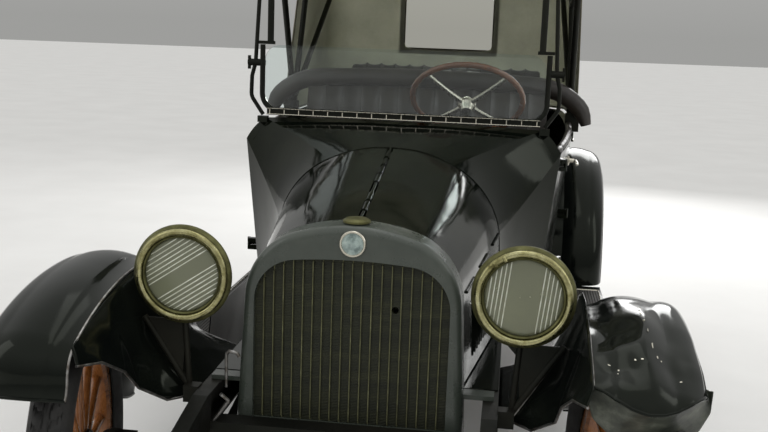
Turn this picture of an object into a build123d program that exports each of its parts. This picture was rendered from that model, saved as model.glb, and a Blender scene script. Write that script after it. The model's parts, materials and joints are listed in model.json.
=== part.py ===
"""Open touring car of about 1917 with its folding top raised.

Millimetres. +Z is up, -Y is the way the car faces and +X is the car's left side. The origin is on the floor,
midway along and across the car. Pieces that steer are built straight ahead and then turned about their kingpins.
"""

import os
from math import asin, atan2, cos, degrees, hypot, pi, radians, sin

from build123d import *

os.makedirs("parts", exist_ok=True)

# Chassis layout
wheelbase = 2896
track = 1422
nose_reach = 481            # front axle to the tips of the frame horns
tail_reach = 578            # rear axle to the back of the spare tyre
front_axle_y = -(wheelbase + tail_reach - nose_reach) / 2
rear_axle_y = front_axle_y + wheelbase
radiator_y = front_axle_y + 30
steer_at_rest = 12          # degrees that the front wheels are turned to the car's left

# Tyres and wooden wheels
tyre_radius = 419
tyre_width = 104
rim_radius = 318
rim_wall = 8
felloe_depth = 36
felloe_width = 58
spoke_count = 12
hub_radius = 78
hub_length = 96
spindle_radius = 20
drum_radius = 152
drum_width = 46
running_gap = 0.3

# Frame
rail_x = 365
rail_height = 100
rail_flange = 40
rail_wall = 6
rail_bottom = 540
rail_top = rail_bottom + rail_height
rail_front_y = front_axle_y - 60
rail_rear_y = rear_axle_y + 392
cross_width = 60
gearbox_top = 595

# Front axle and steering
kingpin_x = 620
kingpin_radius = 11
knuckle_radius = 24
knuckle_height = 92
ear_thickness = 26
ear_gap = 5
axle_drop = 52
arm_length = 120
arm_offset = 5
tie_rod_radius = 8.5
beam_half = 28
axle_top = tyre_radius - axle_drop + beam_half
column_x = 205
column_length = 930
column_angle = 49           # degrees above the horizontal
steering_wheel_y = radiator_y + 1350
steering_wheel_z = 1318
steering_wheel_radius = 205
steering_rim = 12

# Springs
spring_width = 46
leaf = 7
front_spring_half = 457
front_spring_camber = 60
front_spring_leaves = 6
rear_spring_halves = (560, 372)
rear_spring_camber = 60
rear_spring_x = 440
rear_spring_leaves = 7
spring_seat = 42
eye_radius = 16
front_leaf_top = axle_top + front_spring_leaves * leaf + running_gap
rear_leaf_top = tyre_radius + spring_seat + running_gap + rear_spring_leaves * leaf
front_eye_top = front_leaf_top + front_spring_camber + eye_radius + running_gap
rear_eye_top = rear_leaf_top + rear_spring_camber + eye_radius + running_gap

# Radiator
shell_depth = 100
shell_top = 1080
shell_foot = 540
shell_half = 286
core_half = 254
core_top = 994
core_foot = 556
core_recess = 16
core_pitch = 25.4
core_rib = 3

# Bonnet and cowl
bonnet_gap = 8
cowl_gap = 5
sheet = 4
bonnet_foot = 650
bonnet_front_y = radiator_y + shell_depth + bonnet_gap
bonnet_rear_y = radiator_y + 720
cowl_front_y = bonnet_rear_y + cowl_gap
cowl_rear_y = radiator_y + 1012
cowl_top = 1256
hinge_rod_radius = 5
hinge_barrel = 8
side_barrel = 4.5
side_pin = 1.6
louvre_count = 12

# Body
wall = 32
sill = rail_top
belt = 1172
sill_inset = 55
body_front_half = 547
body_mid_half = 638
body_mid_y = radiator_y + 2100
body_rear_half = 618
body_rear_y = rear_axle_y + 322
body_corner = 230
door_gap = 5
front_door = (radiator_y + 1150, radiator_y + 1690)
rear_door = (radiator_y + 2185, radiator_y + 2600)
door_foot = sill + 45
arch_radius = 600
door_bevel = 0.14            # how far the doors' closing edges are cut back for each millimetre inwards
hinge_levels = (1118, 765)
hinge_knuckle = 14
hinge_radius = 6
hinge_pin = 2.6
floor_thickness = 18

# Seats
front_seat_y = radiator_y + 1420
front_back_y = radiator_y + 1890
rear_seat_y = radiator_y + 2560
rear_back_y = radiator_y + 2975
seat_base_top = 830
cushion_top = 985
front_back_top = 1395
rear_back_top = 1375
seat_half = 522

# Windscreen
glass_half = 480
glass = 6
screen_tube = 9
screen_y = radiator_y + 996
lower_pane_foot = 1282
lower_pane_top = 1500
upper_pane_top = 1862
upper_half = 455
screen_corner = 62
post_x = 515

# Folding top
cloth = 5
top_half = 652
top_front_y = radiator_y + 915
top_rear_y = radiator_y + 3178
top_front_z = 1905
top_mid_z = 2040
top_rear_z = 1965
top_skirt = 105
quarter_y = radiator_y + 2150
bow_radius = 13
bow_pivot = (668, radiator_y + 2135, 1232)
rear_window_half = 245
rear_window_foot = 1460
rear_window_top = 1760

# Fenders and running boards
fender_inner = 585
fender_outer = 838
fender_apex = 665
fender_sheet = 4
board_top = 400
board_thickness = 14
board_outer = fender_outer - 6
board_inner = 592

# Lamps
lamp_x = 431
lamp_y = radiator_y - 56
lamp_z = 937
lamp_rim_radius = 129
lamp_lens_radius = 99
lamp_bowl_depth = 86
lamp_post_y = radiator_y - 12
lamp_foot_x = 426


def across(y):
    """Plane across the car at y: sketch x is +X and sketch y is +Z, facing the front."""
    return Plane.XZ.offset(-y)


def along(x):
    """Plane along the car at x: sketch x is +Y and sketch y is +Z."""
    return Plane.YZ.offset(x)


def save(builder, name):
    """Writes one sub-part as its own STEP file, labelled with its name."""
    builder.part.label = name
    export_step(builder.part, f"parts/{name}.step")


def save_pair(builder, name):
    """Writes a left-hand sub-part and its mirrored right-hand twin."""
    save(builder, f"{name}_left")
    with BuildPart() as twin:
        mirror(builder.part, about=Plane.YZ)
    save(twin, f"{name}_right")


def steered(builder, side):
    """A front piece, turned about the kingpin on its side of the car to where it rests."""
    kingpin = Axis((side * kingpin_x, front_axle_y, 0), (0, 0, 1))
    return builder.part.rotate(kingpin, steer_at_rest)


# Frame: two channel rails with curved horns, tied by cross members
cross_table = (  # y, bottom z, height
    (radiator_y - 42, rail_bottom - 40, 64),
    (radiator_y + 1180, gearbox_top + running_gap, rail_top - gearbox_top - running_gap),
    (rear_axle_y - 330, rail_bottom + 10, 80),
    (rail_rear_y - cross_width / 2, rail_bottom, rail_height),
)
horn_tip_y = front_axle_y - front_spring_half
crank_z = 524
crank_hole = 14
spring_eye_z = front_eye_top + 24
with BuildPart() as frame:
    with BuildSketch(along(rail_x - rail_flange / 2)):
        with Locations(((rail_front_y + rail_rear_y) / 2, (rail_bottom + rail_top) / 2)):
            Rectangle(rail_rear_y - rail_front_y, rail_height)
    extrude(amount=rail_flange)
    with BuildSketch(along(rail_x - rail_flange / 2)):
        with Locations(((rail_front_y + rail_rear_y) / 2, (rail_bottom + rail_top) / 2)):
            Rectangle(rail_rear_y - rail_front_y - 60, rail_height - 2 * rail_wall)
    extrude(amount=rail_flange - rail_wall, mode=Mode.SUBTRACT)
    with BuildSketch(along(rail_x - rail_flange / 2)):
        with BuildLine():
            Line((rail_front_y, rail_bottom), (rail_front_y, rail_top))
            ThreePointArc((rail_front_y, rail_top), (horn_tip_y + 190, rail_top - 42), (horn_tip_y, spring_eye_z + 24))
            ThreePointArc(
                (horn_tip_y, spring_eye_z + 24), (horn_tip_y - 24, spring_eye_z), (horn_tip_y, spring_eye_z - 24)
            )
            Line((horn_tip_y, spring_eye_z - 24), (horn_tip_y + 60, spring_eye_z))
            ThreePointArc(
                (horn_tip_y + 60, spring_eye_z), (horn_tip_y + 230, spring_eye_z + 26), (rail_front_y, rail_bottom)
            )
        make_face()
    extrude(amount=rail_flange)
    for cross_y, cross_z, cross_height in cross_table:
        with BuildSketch(along(0)):
            with Locations((cross_y, cross_z + cross_height / 2)):
                Rectangle(cross_width, cross_height)
            with Locations((cross_y, cross_z + cross_height / 2 - rail_wall)):
                Rectangle(cross_width - 2 * rail_wall, cross_height, mode=Mode.SUBTRACT)
        extrude(amount=rail_x + rail_flange / 2 - rail_wall)
    with Locations((0, radiator_y - 42, crank_z)):
        Cylinder(crank_hole, 90, rotation=(90, 0, 0), mode=Mode.SUBTRACT)
    with Locations((rail_x, front_axle_y + front_spring_half, (front_eye_top + rail_bottom + 2) / 2)):
        Box(rail_flange, 40, rail_bottom + 2 - front_eye_top)
    for hanger_y in (rear_axle_y - rear_spring_halves[0], rear_axle_y + rear_spring_halves[1]):
        with Locations(((rail_x + rear_spring_x) / 2 + 12, hanger_y, (rear_eye_top + rail_top - 17) / 2)):
            Box(rear_spring_x - rail_x + 36, 40, rail_top - 17 - rear_eye_top)
    mirror(about=Plane.YZ)
save(frame, "frame")

# Front axle: a forged beam of I section, dropped between the springs, with a forked end for each kingpin
wheel_z = tyre_radius
fork_in = kingpin_x - knuckle_radius - ear_gap
ear_reach = knuckle_height / 2 + ear_gap / 2 + ear_thickness
with BuildPart() as front_axle:
    with BuildSketch(across(front_axle_y - 24)):
        with BuildLine():
            Polyline(
                (0, axle_top - 2 * beam_half),
                (455, axle_top - 2 * beam_half),
                (548, wheel_z - beam_half),
                (fork_in, wheel_z - beam_half),
                (fork_in, wheel_z + beam_half),
                (540, wheel_z + beam_half),
                (447, axle_top),
                (0, axle_top),
                close=True,
            )
        make_face()
    extrude(amount=-48)
    with BuildSketch(across(front_axle_y - 24)):
        with BuildLine():
            Polyline(
                (0, axle_top - 2 * beam_half + 12),
                (451, axle_top - 2 * beam_half + 12),
                (520, wheel_z - 20),
                (520, wheel_z + 6),
                (446, axle_top - 12),
                (0, axle_top - 12),
                close=True,
            )
        make_face()
    extrude(amount=-16, mode=Mode.SUBTRACT)
    with BuildSketch(across(front_axle_y + 8)):
        with BuildLine():
            Polyline(
                (0, axle_top - 2 * beam_half + 12),
                (451, axle_top - 2 * beam_half + 12),
                (520, wheel_z - 20),
                (520, wheel_z + 6),
                (446, axle_top - 12),
                (0, axle_top - 12),
                close=True,
            )
        make_face()
    extrude(amount=-16, mode=Mode.SUBTRACT)
    with Locations((fork_in - 14, front_axle_y, wheel_z)):
        Box(28, 48, 2 * ear_reach)
    with BuildSketch(Plane.XY.offset(wheel_z - ear_reach)):
        with Locations((kingpin_x, front_axle_y)):
            Circle(knuckle_radius + 4)
        with Locations(((kingpin_x + fork_in) / 2 - 8, front_axle_y)):
            Rectangle(kingpin_x - fork_in + 16, 48)
    extrude(amount=2 * ear_reach)
    with Locations((kingpin_x, front_axle_y, wheel_z)):
        Cylinder(knuckle_radius + ear_gap, knuckle_height + ear_gap, mode=Mode.SUBTRACT)
        with Locations((knuckle_radius, 0, 0)):
            Box(4 * knuckle_radius + 2 * ear_gap, 60, knuckle_height + ear_gap, mode=Mode.SUBTRACT)
        Cylinder(kingpin_radius + running_gap, 3 * ear_reach, mode=Mode.SUBTRACT)
    mirror(about=Plane.YZ)
save(front_axle, "front_axle")


def leaf_stack(stack_x, mid_y, top_z, halves, camber, leaves):
    """Side view of a leaf pack: the main leaf on top, ending in eyes, and shorter leaves below it."""
    with BuildSketch(along(stack_x - spring_width / 2)) as pack:
        for way, half in ((-1, halves[0]), (1, halves[1])):
            bend = (half**2 + camber**2) / (2 * camber)
            centre_z = top_z + bend
            for step in range(leaves):
                reach = asin(half / bend) * (1 - step / (leaves + 0.6))
                upper, lower = ((bend + (step + edge) * leaf) for edge in (0, 1))
                with BuildLine():
                    ThreePointArc(
                        (mid_y, centre_z - upper),
                        (mid_y + way * upper * sin(reach / 2), centre_z - upper * cos(reach / 2)),
                        (mid_y + way * upper * sin(reach), centre_z - upper * cos(reach)),
                    )
                    Line(
                        (mid_y + way * upper * sin(reach), centre_z - upper * cos(reach)),
                        (mid_y + way * lower * sin(reach), centre_z - lower * cos(reach)),
                    )
                    ThreePointArc(
                        (mid_y + way * lower * sin(reach), centre_z - lower * cos(reach)),
                        (mid_y + way * lower * sin(reach / 2), centre_z - lower * cos(reach / 2)),
                        (mid_y, centre_z - lower),
                    )
                    Line((mid_y, centre_z - lower), (mid_y, centre_z - upper))
                make_face()
            with Locations((mid_y + way * half, top_z + camber)):
                Circle(eye_radius)
    return pack.sketch


# Springs: half-elliptic in front, three-quarter elliptic behind
clip_spread = 34
with BuildPart() as springs:
    for stack_x, mid_y, pack_top, halves, camber, leaves in (
        (rail_x, front_axle_y, front_leaf_top, (front_spring_half,) * 2, front_spring_camber, front_spring_leaves),
        (rear_spring_x, rear_axle_y, rear_leaf_top, rear_spring_halves, rear_spring_camber, rear_spring_leaves),
    ):
        extrude(leaf_stack(stack_x, mid_y, pack_top, halves, camber, leaves), amount=spring_width)
        for clip_y in (mid_y - clip_spread, mid_y + clip_spread):
            with Locations((stack_x, clip_y, pack_top - leaves * leaf / 2 + 5)):
                Box(spring_width + 16, 14, leaves * leaf + 10)
    mirror(about=Plane.YZ)
save(springs, "springs")

# Rear axle: tubes, differential housing and torque tube in one, with a stub for each wheel
banjo_radius = 138
tube_radius = 38
torque_front_y = radiator_y + 1290
stub_end = track / 2 + 44
with BuildPart() as rear_axle:
    with BuildSketch(Plane.XY.offset(wheel_z)):
        with BuildLine():
            Polyline(
                (0, rear_axle_y),
                (0, rear_axle_y - banjo_radius),
                (40, rear_axle_y - banjo_radius),
                (92, rear_axle_y - 96),
                (130, rear_axle_y - tube_radius - 10),
                (250, rear_axle_y - tube_radius),
                (590, rear_axle_y - tube_radius),
                (590, rear_axle_y),
                close=True,
            )
        make_face()
    revolve(axis=Axis((0, rear_axle_y, wheel_z), (1, 0, 0)))
    with Locations(((580 + stub_end) / 2, rear_axle_y, wheel_z)):
        Cylinder(spindle_radius, stub_end - 580, rotation=(0, 90, 0))
    with Locations((rear_spring_x, rear_axle_y, wheel_z + spring_seat - 10)):
        Box(spring_width + 14, 2 * clip_spread - 14, 20)
    mirror(about=Plane.YZ)
    with BuildSketch(across(rear_axle_y - 110)):
        with Locations((0, wheel_z)):
            Circle(56)
    with BuildSketch(across(torque_front_y)):
        with Locations((0, wheel_z + 60)):
            Circle(34)
    loft()
save(rear_axle, "rear_axle")

# Engine and gearbox, one plain block each, with the exhaust pipe and silencer
engine_half = 160
with BuildPart() as powertrain:
    with Locations((0, radiator_y + 415, 705)):
        Box(2 * engine_half, 560, 470)
    with Locations((0, radiator_y + 720, 520)):
        Box(300, 110, 220)
    with Locations((0, radiator_y + 985, gearbox_top - 95)):
        Box(230, 560, 190)
    with BuildSketch(across(radiator_y + 1200)):
        with Locations((-250, 480)):
            Circle(62)
    extrude(amount=-560)
    with BuildLine(Plane.XY.offset(480)) as pipe_path:
        FilletPolyline(
            (-engine_half + 10, radiator_y + 560),
            (-250, radiator_y + 560),
            (-250, radiator_y + 1220),
            radius=60,
        )
    with BuildSketch(Plane(pipe_path.line @ 0, z_dir=pipe_path.line % 0)):
        Circle(20)
    sweep()
    with BuildSketch(across(radiator_y + 1740)):
        with Locations((-250, 480)):
            Circle(16)
    extrude(amount=-420)
save(powertrain, "powertrain")

# Fuel tank: an oval drum across the tail
tank_half = 325
tank_y = rear_axle_y + 226
with BuildPart() as fuel_tank:
    with BuildSketch(along(-tank_half)):
        with Locations((tank_y, 545)):
            Ellipse(76, 88)
    extrude(amount=2 * tank_half)
    fillet(fuel_tank.edges().group_by(Axis.X)[0] + fuel_tank.edges().group_by(Axis.X)[-1], radius=12)
    for strap_x in (-200, 200):
        with Locations((strap_x, (tank_y + 60 + rail_rear_y - cross_width - running_gap) / 2, 562)):
            Box(34, rail_rear_y - cross_width - running_gap - tank_y - 60, 36)
save(fuel_tank, "fuel_tank")


def arch_outline(y, top, crown_radius, crown_x, shoulder_radius, lean, foot):
    """Face across the car under a flat crown, two round shoulders and sides that lean out towards the foot."""
    crown_angle = asin(crown_x / crown_radius)
    crown_z = top - crown_radius * (1 - cos(crown_angle))
    centre_x = crown_x - shoulder_radius * sin(crown_angle)
    centre_z = crown_z - shoulder_radius * cos(crown_angle)
    side_angle = radians(90 - lean)
    mid_angle = (crown_angle + side_angle) / 2
    shoulder_mid = (centre_x + shoulder_radius * sin(mid_angle), centre_z + shoulder_radius * cos(mid_angle))
    side_x = centre_x + shoulder_radius * sin(side_angle)
    side_z = centre_z + shoulder_radius * cos(side_angle)
    foot_x = side_x + (side_z - foot) * sin(radians(lean)) / cos(radians(lean))
    with BuildSketch(across(y)) as outline:
        with BuildLine():
            ThreePointArc((-crown_x, crown_z), (0, top), (crown_x, crown_z))
            ThreePointArc((crown_x, crown_z), shoulder_mid, (side_x, side_z))
            Polyline((side_x, side_z), (foot_x, foot), (-foot_x, foot), (-side_x, side_z))
            ThreePointArc((-side_x, side_z), (-shoulder_mid[0], shoulder_mid[1]), (-crown_x, crown_z))
        make_face()
    return outline.sketch


def core_outline(y, inset):
    """Front face of the radiator core, taken in by a distance."""
    return arch_outline(y, core_top - inset, 1500, 150, 114 - inset, 0.01, core_foot + inset)


# Radiator shell with a softly rounded front
with BuildPart() as radiator_shell:
    extrude(arch_outline(radiator_y, shell_top, 487, 151, 188, 3, shell_foot), amount=-shell_depth)
    fillet(radiator_shell.faces().sort_by(Axis.Y)[0].edges(), radius=22)
    extrude(core_outline(radiator_y, 0), amount=-shell_depth, mode=Mode.SUBTRACT)
    for side in (-1, 1):
        with Locations((side * (shell_half + rail_x) / 2, radiator_y + 55, rail_top + running_gap + 6)):
            Box(rail_x - shell_half + 16, 44, 12)
save(radiator_shell, "radiator_shell")

# Radiator core: a block of cells behind vertical ribs, with the puncture it has
puncture = (112, 868)
with BuildPart() as radiator_core:
    extrude(core_outline(radiator_y + core_recess, running_gap), amount=-64)
    for rib in range(-9, 10):
        rib_x = rib * core_pitch
        rib_top = core_top - 10 - max(0, abs(rib_x) - 160) * 0.75
        with Locations((rib_x, radiator_y + core_recess - 3, (core_foot + 8 + rib_top) / 2)):
            Box(core_rib, 7, rib_top - core_foot - 8)
    with BuildSketch(across(radiator_y)):
        with Locations(puncture):
            Circle(9)
    extrude(amount=-52, mode=Mode.SUBTRACT)
save(radiator_core, "radiator_core")

# Filler cap: a low flanged disc
with BuildPart() as radiator_cap:
    with BuildSketch(across(radiator_y + 56)):
        with BuildLine():
            Polyline(
                (0, shell_top + running_gap),
                (30, shell_top + running_gap),
                (36, shell_top + 3),
                (36, shell_top + 8),
                (28, shell_top + 13),
                (0, shell_top + 16),
                close=True,
            )
        make_face()
    revolve(axis=Axis((0, radiator_y + 56, 0), (0, 0, 1)))
save(radiator_cap, "radiator_cap")

# Bonnet sections: centre, crown, shoulder and foot of each half, as (x, z), at the front and at the rear
bonnet_sections = (
    # y, crown middle, crown end, shoulder middle, hinge, foot
    (bonnet_front_y, (78, 1072), (150, 1053), (236, 996), (279, 892), (289, bonnet_foot)),
    (bonnet_rear_y, (104, 1186), (203, 1149), (299, 1072), (356, 946), (374, bonnet_foot)),
)
rod_start = Vector(0, bonnet_front_y - bonnet_gap + 2, shell_top - 5)
rod_run = Vector(0, cowl_front_y - bonnet_front_y + bonnet_gap - running_gap, 120)
crown_height = {
    section[0]: rod_start.Z + (section[0] - rod_start.Y) * rod_run.Z / rod_run.Y + sheet / 2
    for section in bonnet_sections
}
centre_gap = hinge_barrel + 1.5
barrel_length = 60
side_gap = running_gap
side_hinge_out = 1.5         # how far the side's hinge line lies outside the sheet's edge
side_hinge_start = Vector(
    bonnet_sections[0][4][0] + side_hinge_out, bonnet_front_y, bonnet_sections[0][4][1] - side_gap / 2
)
side_hinge_run = Vector(
    bonnet_sections[1][4][0] - bonnet_sections[0][4][0],
    bonnet_rear_y - bonnet_front_y,
    bonnet_sections[1][4][1] - bonnet_sections[0][4][1],
)
side_barrel_shares = (0.06, 0.42, 0.78)


def rod_plane(share, offset):
    """Plane across the hinge rod at a share of its length and an offset along it."""
    return Plane(rod_start + rod_run * share + rod_run.normalized() * offset, x_dir=(1, 0, 0), z_dir=rod_run)


def side_hinge_spot(share, offset):
    """Plane across the left side's hinge line at a share of its length and an offset along it."""
    along_line = side_hinge_run.normalized()
    return Plane(side_hinge_start + side_hinge_run * share + along_line * offset, x_dir=(1, 0, 0), z_dir=along_line)


def side_hinge_rod(radius, share, start, length):
    """Round bar on the left side's hinge line, from an offset past a share of its length."""
    with BuildPart() as bar:
        with BuildSketch(side_hinge_spot(share, start)):
            Circle(radius)
        extrude(amount=length)
    return bar.part


with BuildPart() as bonnet_top:
    for section_y, crown_mid, crown_end, shoulder, hinge, foot in bonnet_sections:
        with BuildSketch(across(section_y)):
            with BuildLine():
                ThreePointArc((centre_gap, crown_height[section_y]), crown_mid, crown_end)
                ThreePointArc(crown_end, shoulder, hinge)
                Line(hinge, (hinge[0] - sheet, hinge[1]))
                ThreePointArc(
                    (hinge[0] - sheet, hinge[1]),
                    (shoulder[0] - 3, shoulder[1] - 3),
                    (crown_end[0] - 1.5, crown_end[1] - sheet),
                )
                ThreePointArc(
                    (crown_end[0] - 1.5, crown_end[1] - sheet),
                    (crown_mid[0], crown_mid[1] - sheet),
                    (centre_gap, crown_height[section_y] - sheet),
                )
                Line((centre_gap, crown_height[section_y] - sheet), (centre_gap, crown_height[section_y]))
            make_face()
    loft(ruled=True)
    for share in side_barrel_shares:
        add(side_hinge_rod(side_barrel, share, 0, barrel_length))
        add(
            side_hinge_rod(side_barrel + running_gap, share, barrel_length + running_gap, barrel_length + running_gap),
            mode=Mode.SUBTRACT,
        )
        add(side_hinge_rod(side_pin, share, barrel_length - 1, barrel_length + 1))
top_blank = bonnet_top.part
for side, side_name, shares in ((1, "left", (0.12, 0.48, 0.84)), (-1, "right", (0.24, 0.6, 0.72))):
    with BuildPart() as bonnet_top:
        if side == 1:
            add(top_blank)
        else:
            add(mirror(top_blank, about=Plane.YZ))
        for share in shares:
            with BuildSketch(rod_plane(share, 0)):
                Circle(hinge_barrel)
                with Locations((side * (centre_gap + 6) / 2, 0)):
                    Rectangle(centre_gap + 6, sheet)
            extrude(amount=barrel_length)
            with BuildSketch(rod_plane(share, -1)):
                Circle(hinge_rod_radius + running_gap)
            extrude(amount=barrel_length + 2, mode=Mode.SUBTRACT)
    save(bonnet_top, f"bonnet_top_{side_name}")

# Bonnet side: a flat panel hung from the shoulder, pressed with upright louvres
louvre_height = 150
with BuildPart() as bonnet_side:
    for section_y, crown_mid, crown_end, shoulder, hinge, foot in bonnet_sections:
        with BuildSketch(across(section_y)):
            with BuildLine():
                Polyline(
                    (hinge[0], hinge[1] - side_gap),
                    foot,
                    (foot[0] - sheet, foot[1]),
                    (hinge[0] - sheet, hinge[1] - side_gap),
                    close=True,
                )
            make_face()
    loft(ruled=True)
    for share in side_barrel_shares:
        add(
            side_hinge_rod(side_barrel + running_gap, share, -running_gap, barrel_length + 2 * running_gap),
            mode=Mode.SUBTRACT,
        )
        add(side_hinge_rod(side_barrel, share, barrel_length + 2 * running_gap, barrel_length - running_gap))
        add(
            side_hinge_rod(side_pin + running_gap, share, barrel_length, barrel_length + 2),
            mode=Mode.SUBTRACT,
        )
    side_front = bonnet_sections[0]
    side_rear = bonnet_sections[1]
    for louvre in range(louvre_count):
        share = 0.2 + 0.62 * louvre / (louvre_count - 1)
        louvre_y = side_front[0] + share * (side_rear[0] - side_front[0])
        top_x = side_front[4][0] + share * (side_rear[4][0] - side_front[4][0])
        foot_x = side_front[5][0] + share * (side_rear[5][0] - side_front[5][0])
        with BuildSketch(Plane.XY.offset(bonnet_foot + 40)):
            with BuildLine():
                Polyline(
                    (0.25 * top_x + 0.75 * foot_x - 4, louvre_y),
                    (0.25 * top_x + 0.75 * foot_x + 6, louvre_y + 14),
                    (0.25 * top_x + 0.75 * foot_x - 2, louvre_y + 16),
                    close=True,
                )
            make_face()
        extrude(amount=louvre_height)
save_pair(bonnet_side, "bonnet_side")

# Ledges on the frame that the bonnet's sides stand over
ledge = 3
with BuildPart() as bonnet_ledges:
    with BuildSketch(Plane.XY.offset(rail_top + running_gap)):
        with BuildLine():
            Polyline(
                (bonnet_sections[0][5][0] - 26, bonnet_front_y + 2),
                (rail_x + rail_flange / 2 - 2, bonnet_front_y + 2),
                (rail_x + rail_flange / 2 - 2, bonnet_rear_y),
                (rail_x - rail_flange / 2 - 8, bonnet_rear_y),
                close=True,
            )
        make_face()
    extrude(amount=ledge)
    mirror(about=Plane.YZ)
save(bonnet_ledges, "bonnet_ledges")

# Cowl: it flares from the bonnet to the body, carries the bonnet's hinge rod and closes on the dash board
cowl_mid_y = (cowl_front_y + cowl_rear_y) / 2
cowl_sections = (
    # y, centre z, crown middle, crown end, shoulder middle, shoulder end, foot
    (cowl_front_y, 1200, (104, 1189), (204, 1152), (300, 1075), (358, 948), (378, sill)),
    (cowl_mid_y, 1226, (150, 1221), (310, 1190), (382, 1120), (424, 1010), (420, sill)),
    (cowl_rear_y, cowl_top, (240, cowl_top - 1), (482, cowl_top - 8), (518, 1215), (547, belt), (492, sill)),
)


def cowl_section(station, inset):
    """Half section across the cowl at one of its stations, taken in by a distance."""
    section_y, centre_z, crown_mid, crown_end, shoulder, shoulder_end, foot = station
    with BuildSketch(across(section_y)) as section:
        with BuildLine():
            ThreePointArc(
                (0, centre_z - inset),
                (crown_mid[0], crown_mid[1] - inset),
                (crown_end[0] - inset * 0.5, crown_end[1] - inset),
            )
            ThreePointArc(
                (crown_end[0] - inset * 0.5, crown_end[1] - inset),
                (shoulder[0] - inset * 0.8, shoulder[1] - inset * 0.8),
                (shoulder_end[0] - inset, shoulder_end[1]),
            )
            Polyline(
                (shoulder_end[0] - inset, shoulder_end[1]),
                (foot[0] - inset, sill),
                (0, sill),
                (0, centre_z - inset),
            )
        make_face()
    return section.sketch


def cowl_blank(inset):
    """Half of the cowl as a solid lofted through its sections, taken in by a distance."""
    return loft(sections=[cowl_section(station, inset) for station in cowl_sections])


cowl_wall = 22
with BuildPart() as cowl:
    add(cowl_blank(0))
    add(cowl_blank(cowl_wall), mode=Mode.SUBTRACT)
    extrude(cowl_section(cowl_sections[0], 6), amount=-cowl_wall)
    with BuildSketch(across(cowl_rear_y - 18)):
        with BuildLine():
            Polyline((0, cowl_top - 18), (470, cowl_top - 24), (520, belt), (500, 1020), (0, 1020), close=True)
        make_face()
    extrude(amount=-18)
    with Locations((glass_half + 6, screen_y + 4, cowl_top - 12)):
        Box(34, 26, 22)
    mirror(about=Plane.YZ)
    with BuildSketch(Plane(rod_start, z_dir=rod_run)):
        Circle(hinge_rod_radius)
    extrude(amount=rod_run.length)
    column_hole = Axis((column_x, steering_wheel_y, steering_wheel_z), (0, -1, 0))
    with BuildSketch(Plane((column_x, steering_wheel_y, steering_wheel_z),
                           z_dir=(0, -cos(radians(column_angle)), -sin(radians(column_angle))))):
        Circle(36)
    extrude(amount=1100, mode=Mode.SUBTRACT)
save(cowl, "cowl")


def tub_outline(level, inset):
    """Plan outline of the body at a level, taken in by a distance, as a face."""
    with BuildSketch(Plane.XY.offset(level)) as outline:
        with BuildLine():
            ThreePointArc(
                (body_front_half - inset, cowl_rear_y),
                (body_mid_half - inset, body_mid_y),
                (body_rear_half - inset, body_rear_y - inset),
            )
            ThreePointArc(
                (body_rear_half - inset, body_rear_y - inset),
                (0, body_rear_y + 26 - inset),
                (-body_rear_half + inset, body_rear_y - inset),
            )
            ThreePointArc(
                (-body_rear_half + inset, body_rear_y - inset),
                (-body_mid_half + inset, body_mid_y),
                (-body_front_half + inset, cowl_rear_y),
            )
            Line((-body_front_half + inset, cowl_rear_y), (body_front_half - inset, cowl_rear_y))
        make_face()
        fillet(outline.vertices().sort_by(Axis.Y)[-2:], radius=body_corner - inset)
    return outline.sketch


def door_outline(span, gap):
    """Outline of a door in side view, taken in by a gap; the rear one is cut back around the wheel arch."""
    with BuildSketch(along(0)) as outline:
        with Locations(((span[0] + span[1]) / 2, (door_foot + belt + 50) / 2)):
            Rectangle(span[1] - span[0] - 2 * gap, belt + 50 - door_foot - 2 * gap)
        with Locations((rear_axle_y, wheel_z)):
            Circle(arch_radius + gap, mode=Mode.SUBTRACT)
    return outline.sketch


def skin_half(y, level):
    """Half width of the body's skin at a place along it and a level."""
    (x1, y1), (x2, y2), (x3, y3) = (
        (body_front_half, cowl_rear_y), (body_mid_half, body_mid_y), (body_rear_half, body_rear_y)
    )
    twice = 2 * (x1 * (y2 - y3) + x2 * (y3 - y1) + x3 * (y1 - y2))
    squares = (x1**2 + y1**2, x2**2 + y2**2, x3**2 + y3**2)
    mid_x = (squares[0] * (y2 - y3) + squares[1] * (y3 - y1) + squares[2] * (y1 - y2)) / twice
    mid_y = (squares[0] * (x3 - x2) + squares[1] * (x1 - x3) + squares[2] * (x2 - x1)) / twice
    bend = hypot(x1 - mid_x, y1 - mid_y)
    return mid_x + (bend**2 - (y - mid_y) ** 2) ** 0.5 - sill_inset * (belt - level) / (belt - sill)


def hinge_pin_at(span):
    """Plan position of a left door's hinge pins: over the gap at its front edge and off the skin."""
    pin_y = span[0] + door_gap - 1
    return skin_half(pin_y, belt) + hinge_radius, pin_y


with BuildPart() as tub_blank:
    loft(sections=[tub_outline(sill, sill_inset), tub_outline(belt, 0)])
    loft(sections=[tub_outline(sill, sill_inset + wall), tub_outline(belt, wall)], mode=Mode.SUBTRACT)
    with Locations((0, cowl_rear_y, (sill + belt) / 2)):
        Box(2 * (body_front_half - wall - sill_inset), 3 * wall, belt - sill + 10, mode=Mode.SUBTRACT)

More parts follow.
